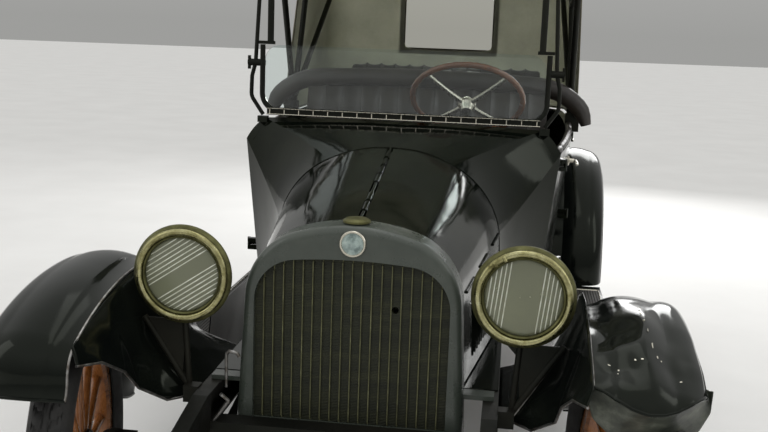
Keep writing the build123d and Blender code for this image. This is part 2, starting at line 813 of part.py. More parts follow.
with BuildPart() as body_tub:
    add(tub_blank.part)
    for span in (front_door, rear_door):
        extrude(door_outline(span, 0), amount=800, both=True, mode=Mode.SUBTRACT)
    with BuildPart() as body_hinges:
        for span in (front_door, rear_door):
            pin_x, pin_y = hinge_pin_at(span)
            for level in hinge_levels:
                for step in (-1, 1):
                    knuckle_z = level + step * (hinge_knuckle + running_gap)
                    inner_x = skin_half(pin_y, knuckle_z) - 4
                    with Locations((pin_x, pin_y, knuckle_z)):
                        Cylinder(hinge_radius, hinge_knuckle)
                    with Locations(((pin_x + inner_x) / 2, pin_y - 11, knuckle_z)):
                        Box(pin_x - inner_x, 22, hinge_knuckle)
                with Locations((pin_x, pin_y, level)):
                    Cylinder(hinge_pin, 3 * hinge_knuckle)
        mirror(about=Plane.YZ)
save(body_tub, "body_tub")

for door_name, span in (("door_front", front_door), ("door_rear", rear_door)):
    pin_x, pin_y = hinge_pin_at(span)
    with BuildPart() as door:
        add(tub_blank.part)
        extrude(door_outline(span, door_gap), amount=800, mode=Mode.INTERSECT)
        with BuildSketch(Plane.XY.offset(sill)):
            with BuildLine():
                Polyline(
                    (body_mid_half, span[1] - door_gap),
                    (body_mid_half - 140, span[1] - door_gap - 140 * door_bevel),
                    (body_mid_half - 140, span[1] + 10),
                    (body_mid_half, span[1] + 10),
                    close=True,
                )
            make_face()
        extrude(amount=belt - sill + 10, mode=Mode.SUBTRACT)
        with Locations((body_mid_half - 70, rear_axle_y, wheel_z)):
            Cone(
                arch_radius + door_gap + 140 * door_bevel,
                arch_radius + door_gap,
                140,
                rotation=(0, 90, 0),
                mode=Mode.SUBTRACT,
            )
        for level in hinge_levels:
            inner_x = skin_half(pin_y, level) - 4
            with Locations((pin_x, pin_y, level)):
                Cylinder(hinge_radius, hinge_knuckle)
            with Locations(((pin_x + inner_x) / 2, pin_y + 11, level)):
                Box(pin_x - inner_x, 22, hinge_knuckle)
            with Locations((pin_x, pin_y, level)):
                Cylinder(hinge_pin + running_gap, hinge_knuckle + 2, mode=Mode.SUBTRACT)
    save_pair(door, door_name)

# Floor boards, toe board and the boxes under the seats
floor_inset = sill_inset + wall + running_gap
with BuildPart() as floor:
    add(tub_outline(sill, floor_inset))
    extrude(amount=floor_thickness)
    with Locations((0, (front_seat_y + front_back_y) / 2 + 20, (sill + seat_base_top) / 2)):
        Box(2 * seat_half - 60, front_back_y - front_seat_y - 40, seat_base_top - sill)
        Box(2 * seat_half - 90, front_back_y - front_seat_y - 70, seat_base_top - sill - 30, mode=Mode.SUBTRACT)
    with Locations((0, (rear_seat_y + rear_back_y) / 2 + 20, (sill + seat_base_top) / 2)):
        Box(2 * seat_half - 90, rear_back_y - rear_seat_y - 40, seat_base_top - sill)
        Box(2 * seat_half - 120, rear_back_y - rear_seat_y - 70, seat_base_top - sill - 30, mode=Mode.SUBTRACT)
    extrude(tub_outline(sill, floor_inset), amount=belt - sill, mode=Mode.INTERSECT)
    with BuildSketch(Plane((column_x, steering_wheel_y, steering_wheel_z),
                           z_dir=(0, -cos(radians(column_angle)), -sin(radians(column_angle))))):
        Circle(36)
    extrude(amount=1100, mode=Mode.SUBTRACT)
save(floor, "floor")

# Seats: a cushion and a back each, as plain padded blocks with rounded edges
for seat_name, cushion_y, back_y, back_top, half in (
    ("front_seat", front_seat_y, front_back_y, front_back_top, seat_half),
    ("rear_seat", rear_seat_y, rear_back_y, rear_back_top, seat_half + 10),
):
    with BuildPart() as seat:
        with Locations((0, (cushion_y + back_y) / 2, (seat_base_top + cushion_top) / 2 + 0.15)):
            Box(2 * half, back_y - cushion_y - 2 * running_gap, cushion_top - seat_base_top - 0.3)
        fillet(seat.edges().group_by(Axis.Z)[-1], radius=30)
    with BuildPart() as seat_back:
        with BuildSketch(along(-half)):
            with BuildLine():
                Polyline(
                    (back_y, seat_base_top + 40),
                    (back_y + 40, back_top),
                    (back_y + 125, back_top),
                    (back_y + 105, seat_base_top + 40),
                    close=True,
                )
            make_face()
        extrude(amount=2 * half)
    with BuildPart() as whole_seat:
        add(seat.part)
        add(seat_back.part)
        extrude(tub_outline(seat_base_top, wall + 44), amount=700, mode=Mode.INTERSECT)
    save(whole_seat, seat_name)

# Windscreen: round-cornered lower frame, upper frame, and the posts and brace rods that hold them
with BuildPart() as windscreen_frame:
    with BuildLine(across(screen_y)) as lower_path:
        FilletPolyline(
            (-glass_half - screen_tube, lower_pane_top),
            (-glass_half - screen_tube, lower_pane_foot - screen_tube),
            (glass_half + screen_tube, lower_pane_foot - screen_tube),
            (glass_half + screen_tube, lower_pane_top),
            radius=screen_corner,
        )
    with BuildSketch(Plane(lower_path.line @ 0, z_dir=lower_path.line % 0)):
        Circle(screen_tube)
    sweep(path=lower_path.line)
    with BuildLine(across(screen_y + 8)) as upper_path:
        FilletPolyline(
            (-upper_half - screen_tube, lower_pane_top + 12),
            (-upper_half - screen_tube, upper_pane_top + screen_tube),
            (upper_half + screen_tube, upper_pane_top + screen_tube),
            (upper_half + screen_tube, lower_pane_top + 12),
            radius=screen_corner,
        )
    with BuildSketch(Plane(upper_path.line @ 0, z_dir=upper_path.line % 0)):
        Circle(screen_tube + 2)
    sweep(path=upper_path.line)
    for side in (-1, 1):
        with BuildLine(across(screen_y + 4)) as post_path:
            FilletPolyline(
                (side * (glass_half + 6), cowl_top + 3 + running_gap),
                (side * (post_x + 14), lower_pane_foot + 40),
                (side * (post_x + 12), lower_pane_foot + 110),
                (side * post_x, 1438),
                (side * (post_x - 22), 1884),
                radius=40,
            )
        with BuildSketch(Plane(post_path.line @ 0, z_dir=post_path.line % 0)):
            Circle(7)
        sweep(path=post_path.line)
        with Locations((side * (post_x - 4), screen_y + 4, 1438)):
            Cylinder(12, 60, rotation=(0, 90, 0))
        with Locations((side * (post_x + 22), screen_y + 4, 1438)):
            Box(8, 14, 46)
        with Locations((side * (glass_half - 4), screen_y + 4, lower_pane_top + 7)):
            Box(56, 14, 11)
save(windscreen_frame, "windscreen_frame")

with BuildPart() as windscreen_glass:
    with BuildSketch(across(screen_y - glass / 2)):
        with Locations((0, (lower_pane_foot + lower_pane_top) / 2)):
            lower_pane = Rectangle(2 * (glass_half - running_gap), lower_pane_top - lower_pane_foot - 2 * running_gap)
        fillet(lower_pane.vertices().group_by(Axis.Z)[0], radius=screen_corner - screen_tube)
    extrude(amount=-glass)
save(windscreen_glass, "windscreen_glass")

# Top: canvas in ruled panels from bow to bow, and bent wooden bows just under it
canvas_stations = (  # y, crown z
    (top_front_y, top_front_z),
    (radiator_y + 1640, top_mid_z - 6),
    (radiator_y + 2350, top_mid_z),
    (top_rear_y, top_rear_z),
)
bow_feet = (  # y and z of each bow's foot, for the front bow its end on the main bow's leg
    (radiator_y + 2263, 1700),
    (bow_pivot[1] - 20, bow_pivot[2] + 20),
    (bow_pivot[1], bow_pivot[2]),
    (bow_pivot[1] + 24, bow_pivot[2] + 20),
)
bow_half = 600
bow_foot_x = 626
bow_bend = 60
canvas_fall = 36
canvas_bend = (top_half**2 + canvas_fall**2) / (2 * canvas_fall)
bow_set_back = 16


def bow_level(y):
    """Height of a bow's centre line that leaves the running gap between bow and canvas."""
    levels = []
    for (y0, z0), (y1, z1) in zip(canvas_stations, canvas_stations[1:]):
        slope = (z1 - z0) / (y1 - y0)
        levels.append(z0 + slope * (y + cloth - y0) - cloth - (bow_radius + running_gap) * (1 + slope**2) ** 0.5)
    return min(levels)


def canvas_blank(inset, low):
    """Solid under the canvas roof, taken in by a distance and reaching down to a level."""
    half = top_half - inset
    with BuildPart() as blank:
        for section_y, crown_z in canvas_stations:
            edge_z = crown_z - inset - canvas_bend + (canvas_bend**2 - half**2) ** 0.5
            with BuildSketch(across(section_y)):
                with BuildLine():
                    ThreePointArc((-half, edge_z), (0, crown_z - inset), (half, edge_z))
                    Polyline((half, edge_z), (half, low), (-half, low), (-half, edge_z))
                make_face()
        loft(ruled=True)
    return blank.part


with BuildPart() as top_bows:
    for (station_y, crown_z), foot in zip(canvas_stations, bow_feet):
        hoop_y = station_y
        hoop_half = bow_half
        if station_y == top_front_y:
            hoop_y = station_y + bow_set_back
        if station_y == top_rear_y:
            hoop_y = station_y - bow_set_back - 40
            hoop_half = bow_half - 18
        hoop_z = bow_level(hoop_y)
        foot_x = bow_half + 10 if station_y == top_front_y else bow_foot_x
        rib = [(share * hoop_half, hoop_y, hoop_z - canvas_bend + (canvas_bend**2 - (share * hoop_half) ** 2) ** 0.5)
               for share in (-1, -0.5, 0, 0.5, 1)]
        with BuildLine() as hoop:
            FilletPolyline((-foot_x, *foot), *rib, (foot_x, *foot), radius=bow_bend)
        with BuildSketch(Plane(hoop.line @ 0, z_dir=hoop.line % 0)):
            Circle(bow_radius)
        sweep(path=hoop.line)
    for side in (-1, 1):
        with Locations((side * (bow_pivot[0] - 12), bow_pivot[1], bow_pivot[2])):
            Cylinder(34, 30, rotation=(0, 90, 0))
        with Locations((side * (bow_pivot[0] + bow_foot_x) / 2, bow_pivot[1], bow_pivot[2])):
            Cylinder(17, bow_pivot[0] - bow_foot_x + 24, rotation=(0, 90, 0))
        with Locations((side * (bow_pivot[0] - 30), bow_pivot[1], bow_pivot[2] - 46)):
            Box(60, 44, 80)
    loft(
        sections=[tub_outline(sill, sill_inset - running_gap), tub_outline(belt + running_gap, -running_gap)],
        mode=Mode.SUBTRACT,
    )
save(top_bows, "top_bows")

curtain_foot = belt + 2
with BuildPart() as top_canvas:
    add(canvas_blank(0, curtain_foot))
    fillet(top_canvas.edges().filter_by(Axis.Z).group_by(Axis.Y)[-1], radius=150)
    with BuildPart(mode=Mode.SUBTRACT):
        add(canvas_blank(cloth, curtain_foot - 20).moved(Location((0, -cloth, 0))))
        fillet(edges(Select.ALL).filter_by(Axis.Z).group_by(Axis.Y)[-1], radius=145)
    with BuildSketch(along(0)):
        with BuildLine():
            Polyline(
                (top_front_y - 50, curtain_foot - 300),
                (top_front_y - 50, top_front_z - top_skirt),
                (radiator_y + 1640, top_mid_z - top_skirt - 8),
                (radiator_y + 2340, top_mid_z - top_skirt - 140),
                (radiator_y + 2281, 1681),
                (radiator_y + 2102, 1296),
                (radiator_y + 2188, 1284),
                (radiator_y + 2188, curtain_foot - 300),
                close=True,
            )
        make_face()
    extrude(amount=top_half + 40, both=True, mode=Mode.SUBTRACT)
    with BuildSketch(across(top_rear_y + 40)):
        with Locations((0, (rear_window_foot + rear_window_top) / 2)):
            Rectangle(2 * rear_window_half, rear_window_top - rear_window_foot)
    extrude(amount=100, mode=Mode.SUBTRACT)
save(top_canvas, "top_canvas")

with BuildPart() as rear_window:
    with Locations((0, top_rear_y - cloth / 2, (rear_window_foot + rear_window_top) / 2)):
        Box(2 * rear_window_half - 1, 3, rear_window_top - rear_window_foot - 1)
save(rear_window, "rear_window")


def side_plane(spot):
    """Plane across a fender at a spot (y, z, angle), its y axis pointing away from the tyre."""
    y, z, angle = spot
    return Plane((0, y, z), x_dir=(1, 0, 0), z_dir=(0, -cos(angle), -sin(angle)))


def crown_section(spot):
    """Sheet section across the front fender: a flat inner flange, a soft crown and a deep outer roll."""
    with BuildSketch(side_plane(spot)) as section:
        with BuildLine():
            Line((fender_inner, -16), (fender_inner + 24, -16))
            ThreePointArc((fender_inner + 24, -16), (fender_apex + 22, 5), (fender_outer - 78, -6))
            ThreePointArc((fender_outer - 78, -6), (fender_outer - 20, -38), (fender_outer, -98))
            Line((fender_outer, -98), (fender_outer - fender_sheet, -98))
            ThreePointArc((fender_outer - fender_sheet, -98), (fender_outer - 23, -41), (fender_outer - 79, -10))
            ThreePointArc((fender_outer - 79, -10), (fender_apex + 22, 1), (fender_inner + 25, -20))
            Line((fender_inner + 25, -20), (fender_inner, -20))
            Line((fender_inner, -20), (fender_inner, -16))
        make_face()
    return section.sketch


def after_arc(spot, radius, turn):
    """Spot reached from one by turning forward and down around a radius; a negative radius curves up."""
    y, z, angle = spot
    return (
        y + radius * (sin(angle) - sin(angle + turn)),
        z + radius * (cos(angle + turn) - cos(angle)),
        angle + turn,
    )


def after_line(spot, length):
    """Spot reached by going straight on, forward for a positive length."""
    y, z, angle = spot
    return (y - length * cos(angle), z - length * sin(angle), angle)


# Front fenders: crown swept from nose to running board, with an inner valance down to the apron
crown_spot = (front_axle_y + 90, 948, 0)
crown_end = after_arc(crown_spot, 900, radians(26))
nose_end = after_arc(crown_end, 112, radians(62))
fall_end = after_arc(crown_spot, 430, radians(-62))
slope_end = after_line(fall_end, -262)
run_out = after_arc(slope_end, -124, radians(62))
apron_seat = rail_x + rail_flange / 2 + running_gap
apron_sheet = 2.5
apron_stations = (  # y from the radiator, height of its upper edge, middle x and z, lower edge x and z
    (-352, 832, 581, 812, 575, 788),
    (-270, 862, 571, 814, 548, 772),
    (-170, 889, 564, 798, 532, 716),
    (-100, 903, 558, 778, 524, 650),
    (-40, 914, 540, 750, 470, 600),
    (30, 924, 520, 742, apron_seat, 604),
    (150, 915, 512, 732, apron_seat, 610),
    (230, 886.7, 511, 717, apron_seat, 611),
    (300, 862, 530, 704, apron_seat, 612),
    (360, 802, 538, 678, apron_seat, 606),
    (420, 742, 530, 648, apron_seat, 600),
    (520, 562, 500, 548, apron_seat, 556),
)
with BuildPart() as front_fenders:
    for start, radius, turn in (
        (crown_spot, 900, 26),
        (crown_end, 112, 62),
        (crown_spot, 430, -62),
        (slope_end, -124, 62),
    ):
        centre = (0, start[0] + radius * sin(start[2]), start[1] - radius * cos(start[2]))
        revolve(crown_section(start), axis=Axis(centre, (1, 0, 0)), revolution_arc=turn)
    extrude(crown_section(fall_end), amount=262, dir=(0, cos(fall_end[2]), sin(fall_end[2])))
    for station_y, top_z, mid_x, mid_z, low_x, low_z in apron_stations:
        with BuildSketch(across(radiator_y + station_y)):
            with BuildLine():
                Polyline(
                    (fender_inner + 1, top_z),
                    (mid_x, mid_z),
                    (mid_x + apron_sheet, mid_z - apron_sheet),
                    (fender_inner + 4, top_z - 1),
                    close=True,
                )
            make_face()
    loft(ruled=True)
    mirror(about=Plane.YZ)
save(front_fenders, "front_fenders")

# Front aprons: a sheet from each fender's valance down to the frame
with BuildPart() as front_aprons:
    for station_y, top_z, mid_x, mid_z, low_x, low_z in apron_stations:
        fall = Vector(low_x - mid_x, low_z - mid_z).normalized() * running_gap
        with BuildSketch(across(radiator_y + station_y)):
            with BuildLine():
                Polyline(
                    (mid_x + fall.X, mid_z + fall.Y),
                    (low_x, low_z),
                    (low_x + apron_sheet, low_z - apron_sheet),
                    (mid_x + fall.X + apron_sheet, mid_z + fall.Y - apron_sheet),
                    close=True,
                )
            make_face()
    loft(ruled=True)
    mirror(about=Plane.YZ)
save(front_aprons, "front_aprons")
run_out_y = run_out[0]
run_out_z = run_out[1]

# Rear fenders: a rounded arch over each wheel, seated against the body's side
rear_fender_radius = 572
rear_fender_roll = 84
rear_fender_sweeps = (92, -100)


def rear_fender_section():
    """Sheet section across the rear fender at its top, flat inside and rolled down outside."""
    top_plane = Plane((0, rear_axle_y, wheel_z + rear_fender_radius), x_dir=(1, 0, 0), z_dir=(0, -1, 0))
    with BuildSketch(top_plane) as section:
        with BuildLine():
            Line((fender_inner - 45, -14), (fender_inner + 60, -14))
            ThreePointArc((fender_inner + 60, -14), (fender_outer - 138, 0), (fender_outer - 68, -10))
            ThreePointArc((fender_outer - 68, -10), (fender_outer - 18, -36), (fender_outer, -rear_fender_roll))
            Line((fender_outer, -rear_fender_roll), (fender_outer - fender_sheet, -rear_fender_roll))
            ThreePointArc(
                (fender_outer - fender_sheet, -rear_fender_roll), (fender_outer - 21, -39), (fender_outer - 69, -14)
            )
            ThreePointArc((fender_outer - 69, -14), (fender_outer - 138, -4), (fender_inner + 60, -18))
            Line((fender_inner + 60, -18), (fender_inner - 45, -18))
            Line((fender_inner - 45, -18), (fender_inner - 45, -14))
        make_face()
    return section.sketch


with BuildPart() as rear_fenders:
    for arch_sweep in rear_fender_sweeps:
        revolve(rear_fender_section(), axis=Axis((0, rear_axle_y, wheel_z), (1, 0, 0)), revolution_arc=arch_sweep)
    loft(sections=[tub_outline(sill - 200, sill_inset + 14), tub_outline(belt, -running_gap)], mode=Mode.SUBTRACT)
    mirror(about=Plane.YZ)
save(rear_fenders, "rear_fenders")

# Running boards with the splash aprons above them and the brackets that carry them
board_front_y = run_out_y + running_gap
board_rear_y = rear_axle_y - rear_fender_radius - running_gap
with BuildPart() as running_boards:
    with Locations(((board_inner + board_outer) / 2, (board_front_y + board_rear_y) / 2, board_top - board_thickness / 2)):
        Box(board_outer - board_inner, board_rear_y - board_front_y, board_thickness)
    with BuildSketch(across(board_front_y)):
        with BuildLine():
            Polyline(
                (board_inner + 2, board_top - 2),
                (body_mid_half - sill_inset - 12, sill - 6),
                (body_mid_half - sill_inset - 16, sill - 6),
                (board_inner - 2, board_top - 4),
                close=True,
            )
        make_face()
    extrude(amount=-(board_rear_y - board_front_y))
    for bracket_y in (board_front_y + 200, board_rear_y - 260):
        with BuildSketch(across(bracket_y)):
            with BuildLine():
                Polyline(
                    (rail_x + rail_flange / 2 + running_gap, rail_bottom + 10),
                    (rail_x + rail_flange / 2 + running_gap, rail_bottom + 50),
                    (board_inner - 30, board_top - 14),
                    (board_outer - 40, board_top - 13),
                    (board_outer - 40, board_top - 22),
                    (board_inner - 40, board_top - 30),
                    close=True,
                )
            make_face()
        extrude(amount=-30)
    mirror(about=Plane.YZ)
save(running_boards, "running_boards")


def turned(points, centre, axis_direction):
    """Solid of revolution from (distance along the axis, radius) points about an axis through a centre."""
    with BuildPart() as solid:
        with BuildSketch(Plane.XY):
            with BuildLine():
                Polyline(*points, close=True)
            make_face()
        revolve(axis=Axis.X)
    placed = Plane(centre, x_dir=axis_direction, z_dir=(0, 0, 1))
    return solid.part.moved(placed.location)


# Headlamps: bowls with their brackets, rims and lenses, lying one inside the other
with BuildPart() as headlamp_shells:
    for side in (-1, 1):
        bowl = turned(
            (
                (2, 0), (2, 117.8), (21, 116), (38, 110), (55, 98), (69, 79), (79, 52), (lamp_bowl_depth, 0),
            ),
            (side * lamp_x, lamp_y + 14, lamp_z),
            (0, 1, 0),
        )
        add(bowl)
    for side in (-1, 1):
        well = turned(
            ((-1, 0), (-1, 114), (21, 112), (38, 106), (54, 94), (67, 76), (77, 48), (lamp_bowl_depth - 4, 0)),
            (side * lamp_x, lamp_y + 14, lamp_z),
            (0, 1, 0),
        )
        add(well, mode=Mode.SUBTRACT)
        foot_half = (lamp_foot_x - rail_x - rail_flange / 2 - running_gap) / 2
        with Locations((side * (lamp_foot_x - foot_half), lamp_post_y - 14, rail_top - 18)):
            Box(2 * foot_half, 36, 44)
        lamp_foot = Vector(side * (lamp_foot_x - 8), lamp_post_y, rail_top - 10)
        for strut_top in (
            Vector(side * lamp_x, lamp_post_y, lamp_z - 112),
            Vector(side * (lamp_x + 108), lamp_post_y, lamp_z - 122),
        ):
            with BuildSketch(Plane(lamp_foot, z_dir=strut_top - lamp_foot)):
                Circle(8)
            extrude(amount=(strut_top - lamp_foot).length)
        with BuildSketch(across(lamp_post_y - 2)):
            with BuildLine():
                Polyline(
                    (side * (lamp_x - 4), lamp_z - 124),
                    (side * (lamp_x + 104), lamp_z - 124),
                    (side * (lamp_foot_x + 10), rail_top + 30),
                    close=True,
                )
            make_face()
        extrude(amount=-4)
save(headlamp_shells, "headlamp_shells")

with BuildPart() as headlamp_rims:
    for side in (-1, 1):
        rim_ring = turned(
            (
                (0, lamp_lens_radius), (-8, lamp_lens_radius + 10), (-10, lamp_lens_radius + 18), (-4, lamp_rim_radius - 5),
                (6, lamp_rim_radius), (15, lamp_rim_radius - 1), (15, 118.3), (0, 118.3),
            ),
            (side * lamp_x, lamp_y + 15, lamp_z),
            (0, 1, 0),
        )
        add(rim_ring)
save(headlamp_rims, "headlamp_rims")

with BuildPart() as headlamp_lenses:
    for side in (-1, 1):
        lens = turned(
            ((-4, 0), (-3, 50), (0.3, lamp_lens_radius - 0.4), (0.4, 112), (4, 112), (3, 50), (2, 0)),
            (side * lamp_x, lamp_y + 15.5, lamp_z),
            (0, 1, 0),
        )
        add(lens)
save(headlamp_lenses, "headlamp_lenses")

# Tail lamp on a bracket beside the spare
with BuildPart() as tail_lamp:
    add(
        turned(
            ((0, 0), (0, 30), (8, 36), (60, 36), (60, 40), (68, 40), (74, 30), (74, 0)),
            (-485, rail_rear_y + 7, 640),
            (0, 1, 0),
        )
    )
    with Locations((-430, rail_rear_y + 4 + running_gap, 610)):
        Box(170, 8, 44)
save(tail_lamp, "tail_lamp")

# Tyres: one solid of revolution each, laid over its rim
tyre_half = tyre_width / 2
tyre_mid = tyre_radius - tyre_half


def tyre_solid(centre, direction):
    """Tyre about an axis through its centre."""
    with BuildPart() as solid:
        with BuildSketch(Plane.XY):
            with BuildLine():
                ThreePointArc(
                    (-30, rim_radius + running_gap), (-tyre_half, tyre_mid - 6), (-0.62 * tyre_half, tyre_radius - 12)
                )
                ThreePointArc(
                    (-0.62 * tyre_half, tyre_radius - 12), (0, tyre_radius), (0.62 * tyre_half, tyre_radius - 12)
                )
                ThreePointArc(
                    (0.62 * tyre_half, tyre_radius - 12), (tyre_half, tyre_mid - 6), (30, rim_radius + running_gap)
                )
                Line((30, rim_radius + running_gap), (-30, rim_radius + running_gap))
            make_face()
        revolve(axis=Axis.X)
    return solid.part.moved(Plane(centre, x_dir=direction, z_dir=(0, 0, 1)).location)


# Spare tyre on its rim, and the carrier that holds it behind the body
spare_y = rear_axle_y + tail_reach - tyre_half
spare_z = 760
with BuildPart() as spare_tyre:
    add(tyre_solid((0, spare_y, spare_z), (0, 1, 0)))
save(spare_tyre, "spare_tyre")

with BuildPart() as spare_carrier:
    with BuildSketch(across(spare_y - 30)):
        with Locations((0, spare_z)):
            Circle(rim_radius)
            Circle(rim_radius - rim_wall, mode=Mode.SUBTRACT)
    extrude(amount=-60)
    for angle in (0, 90, 180, 270):
        with Locations(Location((0, spare_y, spare_z), (0, angle, 0))):
            with Locations((155, -24, 0)):
                Box(314, 14, 34)
    with Locations((0, (rail_rear_y + spare_y) / 2 - 8, spare_z)):
        Cylinder(30, spare_y - rail_rear_y - 20, rotation=(90, 0, 0))
    with Locations((0, rail_rear_y + 6 + running_gap, 665)):
        Box(200, 12, 250)
save(spare_carrier, "spare_carrier")

# Steering column, its box on the frame, and the quadrant levers under the wheel
column_way = Vector(0, cos(radians(column_angle)), sin(radians(column_angle)))
wheel_centre = Vector(column_x, steering_wheel_y, steering_wheel_z)
column_foot = wheel_centre - column_way * column_length
with BuildPart() as steering_column:
    with BuildSketch(Plane(column_foot, z_dir=column_way)):
        Circle(22)
    extrude(amount=column_length - 60)
    with Locations((column_x + 60, column_foot.Y, rail_bottom + 52)):
        Box(160 - running_gap, 110, 96)
    with BuildSketch(Plane(wheel_centre - column_way * 61, z_dir=column_way)):
        Circle(9)
    extrude(amount=36)
save(steering_column, "steering_column")

with BuildPart() as steering_wheel:
    wheel_plane = Plane(wheel_centre, x_dir=(1, 0, 0), z_dir=column_way)
    with BuildPart(wheel_plane):
        Torus(steering_wheel_radius, steering_rim)
        with Locations((0, 0, -22)):
            Cylinder(34, 44)
            Cylinder(9.4, 30, align=(Align.CENTER, Align.CENTER, Align.MAX), mode=Mode.SUBTRACT)
        for angle in (45, 135, 225, 315):
            with Locations(Location((0, 0, -10), (0, 0, angle))):
                with Locations((steering_wheel_radius / 2 + 12, 0, 0)):
                    Box(steering_wheel_radius - 32, 20, 8)
save(steering_wheel, "steering_wheel")

# Knuckles: barrel between the axle's ears, spindle for the wheel and arm for the tie rod
arm_pin_y = front_axle_y + arm_length
arm_z = wheel_z - 16
for side, name in ((1, "knuckle_left"), (-1, "knuckle_right")):
    with BuildPart() as knuckle:
        with Locations((side * kingpin_x, front_axle_y, wheel_z)):
            Cylinder(knuckle_radius, knuckle_height)
            Cylinder(kingpin_radius, 2 * ear_reach + 16)
        with Locations((side * (kingpin_x + 64), front_axle_y, wheel_z)):
            Cylinder(spindle_radius, 128, rotation=(0, 90, 0))
        with Locations((side * (kingpin_x + 30), front_axle_y, wheel_z)):
            Cylinder(27, 20, rotation=(0, 90, 0))
        with Locations((side * kingpin_x, front_axle_y + arm_length / 2, arm_z)):
            Box(16, arm_length, 16)
        with Locations((side * kingpin_x, arm_pin_y, arm_z)):
            Cylinder(15, 16)
        with Locations((side * kingpin_x, arm_pin_y, arm_z - 22)):
            Cylinder(8, 30)
    with BuildPart() as turned_knuckle:
        add(steered(knuckle, side))
    save(turned_knuckle, name)

pin_shift = (-arm_length * sin(radians(steer_at_rest)), arm_length * cos(radians(steer_at_rest)))
tie_z = arm_z - 8 - running_gap - 9
with BuildPart() as tie_rod:
    for side in (-1, 1):
        with Locations((side * kingpin_x + pin_shift[0], front_axle_y + pin_shift[1], tie_z)):
            Cylinder(18, 18)
    with Locations((pin_shift[0], front_axle_y + pin_shift[1], tie_z)):
        Cylinder(tie_rod_radius, 2 * kingpin_x - 20, rotation=(0, 90, 0))
    for side in (-1, 1):
        with Locations((side * kingpin_x + pin_shift[0], front_axle_y + pin_shift[1], tie_z)):
            Cylinder(8 + running_gap, 20, mode=Mode.SUBTRACT)
save(tie_rod, "tie_rod")


def wheel_solid(side):
    """Wooden wheel at the origin with its axis along x: hub, spokes and felloe in one, and the steel rim."""
    with BuildPart() as wheel:
        with BuildSketch(Plane.YZ.offset(-felloe_width / 2)):
            Circle(rim_radius - rim_wall - running_gap)
            Circle(rim_radius - rim_wall - felloe_depth, mode=Mode.SUBTRACT)
        extrude(amount=felloe_width)
        with Locations((0, 0, 0)):
            Cylinder(hub_radius, hub_length * 0.7, rotation=(0, 90, 0))
            Cylinder(hub_radius * 0.55, hub_length, rotation=(0, 90, 0))
        with Locations((side * (hub_length / 2 + 14), 0, 0)):
            Cylinder(30, 30, rotation=(0, 90, 0))
        for spoke in range(spoke_count):
            with Locations(Location((0, 0, 0), (spoke * 360 / spoke_count, 0, 0))):
                with Locations((0, 0, (hub_radius + rim_radius - rim_wall - felloe_depth) / 2)):
                    Box(30, 34, rim_radius - rim_wall - felloe_depth - hub_radius + 12)
        with Locations((side * -10, 0, 0)):
            Cylinder(spindle_radius + running_gap, hub_length + 30, rotation=(0, 90, 0), mode=Mode.SUBTRACT)
        with BuildSketch(Plane.YZ.offset(-felloe_width / 2 - 4)):
            Circle(rim_radius)
            Circle(rim_radius - rim_wall, mode=Mode.SUBTRACT)
        extrude(amount=felloe_width + 8)
    return wheel.part


for side, side_name in ((1, "left"), (-1, "right")):
    wheel_part = wheel_solid(side)
    for axle_y, axle_name in ((front_axle_y, "front"), (rear_axle_y, "rear")):
        centre = (side * track / 2, axle_y, wheel_z)
        with BuildPart() as tyre:
            add(tyre_solid(centre, (1, 0, 0)))
        with BuildPart() as wheel:
            add(wheel_part.moved(Location(centre)))
            if axle_name == "rear":
                with Locations((side * (track / 2 - hub_length * 0.35 - drum_width / 2 - running_gap), axle_y, wheel_z)):
                    Cylinder(drum_radius, drum_width, rotation=(0, 90, 0))
                    Cylinder(tube_radius + 12, drum_width + 2, rotation=(0, 90, 0), mode=Mode.SUBTRACT)
        if axle_name == "front":
            with BuildPart() as turned_tyre:
                add(steered(tyre, side))
            with BuildPart() as turned_wheel:
                add(steered(wheel, side))
            save(turned_tyre, f"tyre_{axle_name}_{side_name}")
            save(turned_wheel, f"wheel_{axle_name}_{side_name}")
        else:
            save(tyre, f"tyre_{axle_name}_{side_name}")
            save(wheel, f"wheel_{axle_name}_{side_name}")
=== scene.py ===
"""Looks of the open touring car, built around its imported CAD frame.

Metres. +Z is up, -Y is the way the car faces and +X is the car's left side, as in the frame.
"""

import json
from math import atan2, cos, hypot, pi, radians, sin

import bmesh
import bpy
from mathutils import Matrix, Vector, noise


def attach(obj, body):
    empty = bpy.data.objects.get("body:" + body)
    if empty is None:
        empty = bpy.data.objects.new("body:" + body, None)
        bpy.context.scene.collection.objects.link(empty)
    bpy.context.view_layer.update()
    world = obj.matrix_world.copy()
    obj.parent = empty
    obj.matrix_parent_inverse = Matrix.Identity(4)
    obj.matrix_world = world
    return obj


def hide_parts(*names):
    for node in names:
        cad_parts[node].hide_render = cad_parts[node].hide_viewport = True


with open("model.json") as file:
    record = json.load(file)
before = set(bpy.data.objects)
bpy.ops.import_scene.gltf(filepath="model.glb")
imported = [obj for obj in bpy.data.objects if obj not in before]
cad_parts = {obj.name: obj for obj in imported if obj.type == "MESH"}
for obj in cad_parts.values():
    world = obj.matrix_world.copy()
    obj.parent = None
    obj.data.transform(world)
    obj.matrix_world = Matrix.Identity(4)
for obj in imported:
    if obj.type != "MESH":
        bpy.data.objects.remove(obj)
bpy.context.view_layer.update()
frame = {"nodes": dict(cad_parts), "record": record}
scene = bpy.context.scene

# Places and sizes taken over from the frame
front_axle_y = -1.4965
rear_axle_y = 1.3995
radiator_y = -1.4665
wheel_z = 0.419
half_track = 0.711
kingpin_x = 0.620
steer_at_rest = radians(12)
belt = 1.172
fender_inner = 0.585
fender_outer = 0.838
fender_apex = 0.665
lamp_x = 0.431
lamp_y = radiator_y - 0.056
lamp_z = 0.937
column_angle = radians(49)
wheel_centre = Vector((0.205, radiator_y + 1.350, 1.318))
sides = ((1, "left"), (-1, "right"))


def back(y):
    """Place along the car, from a distance behind the radiator's front."""
    return radiator_y + y


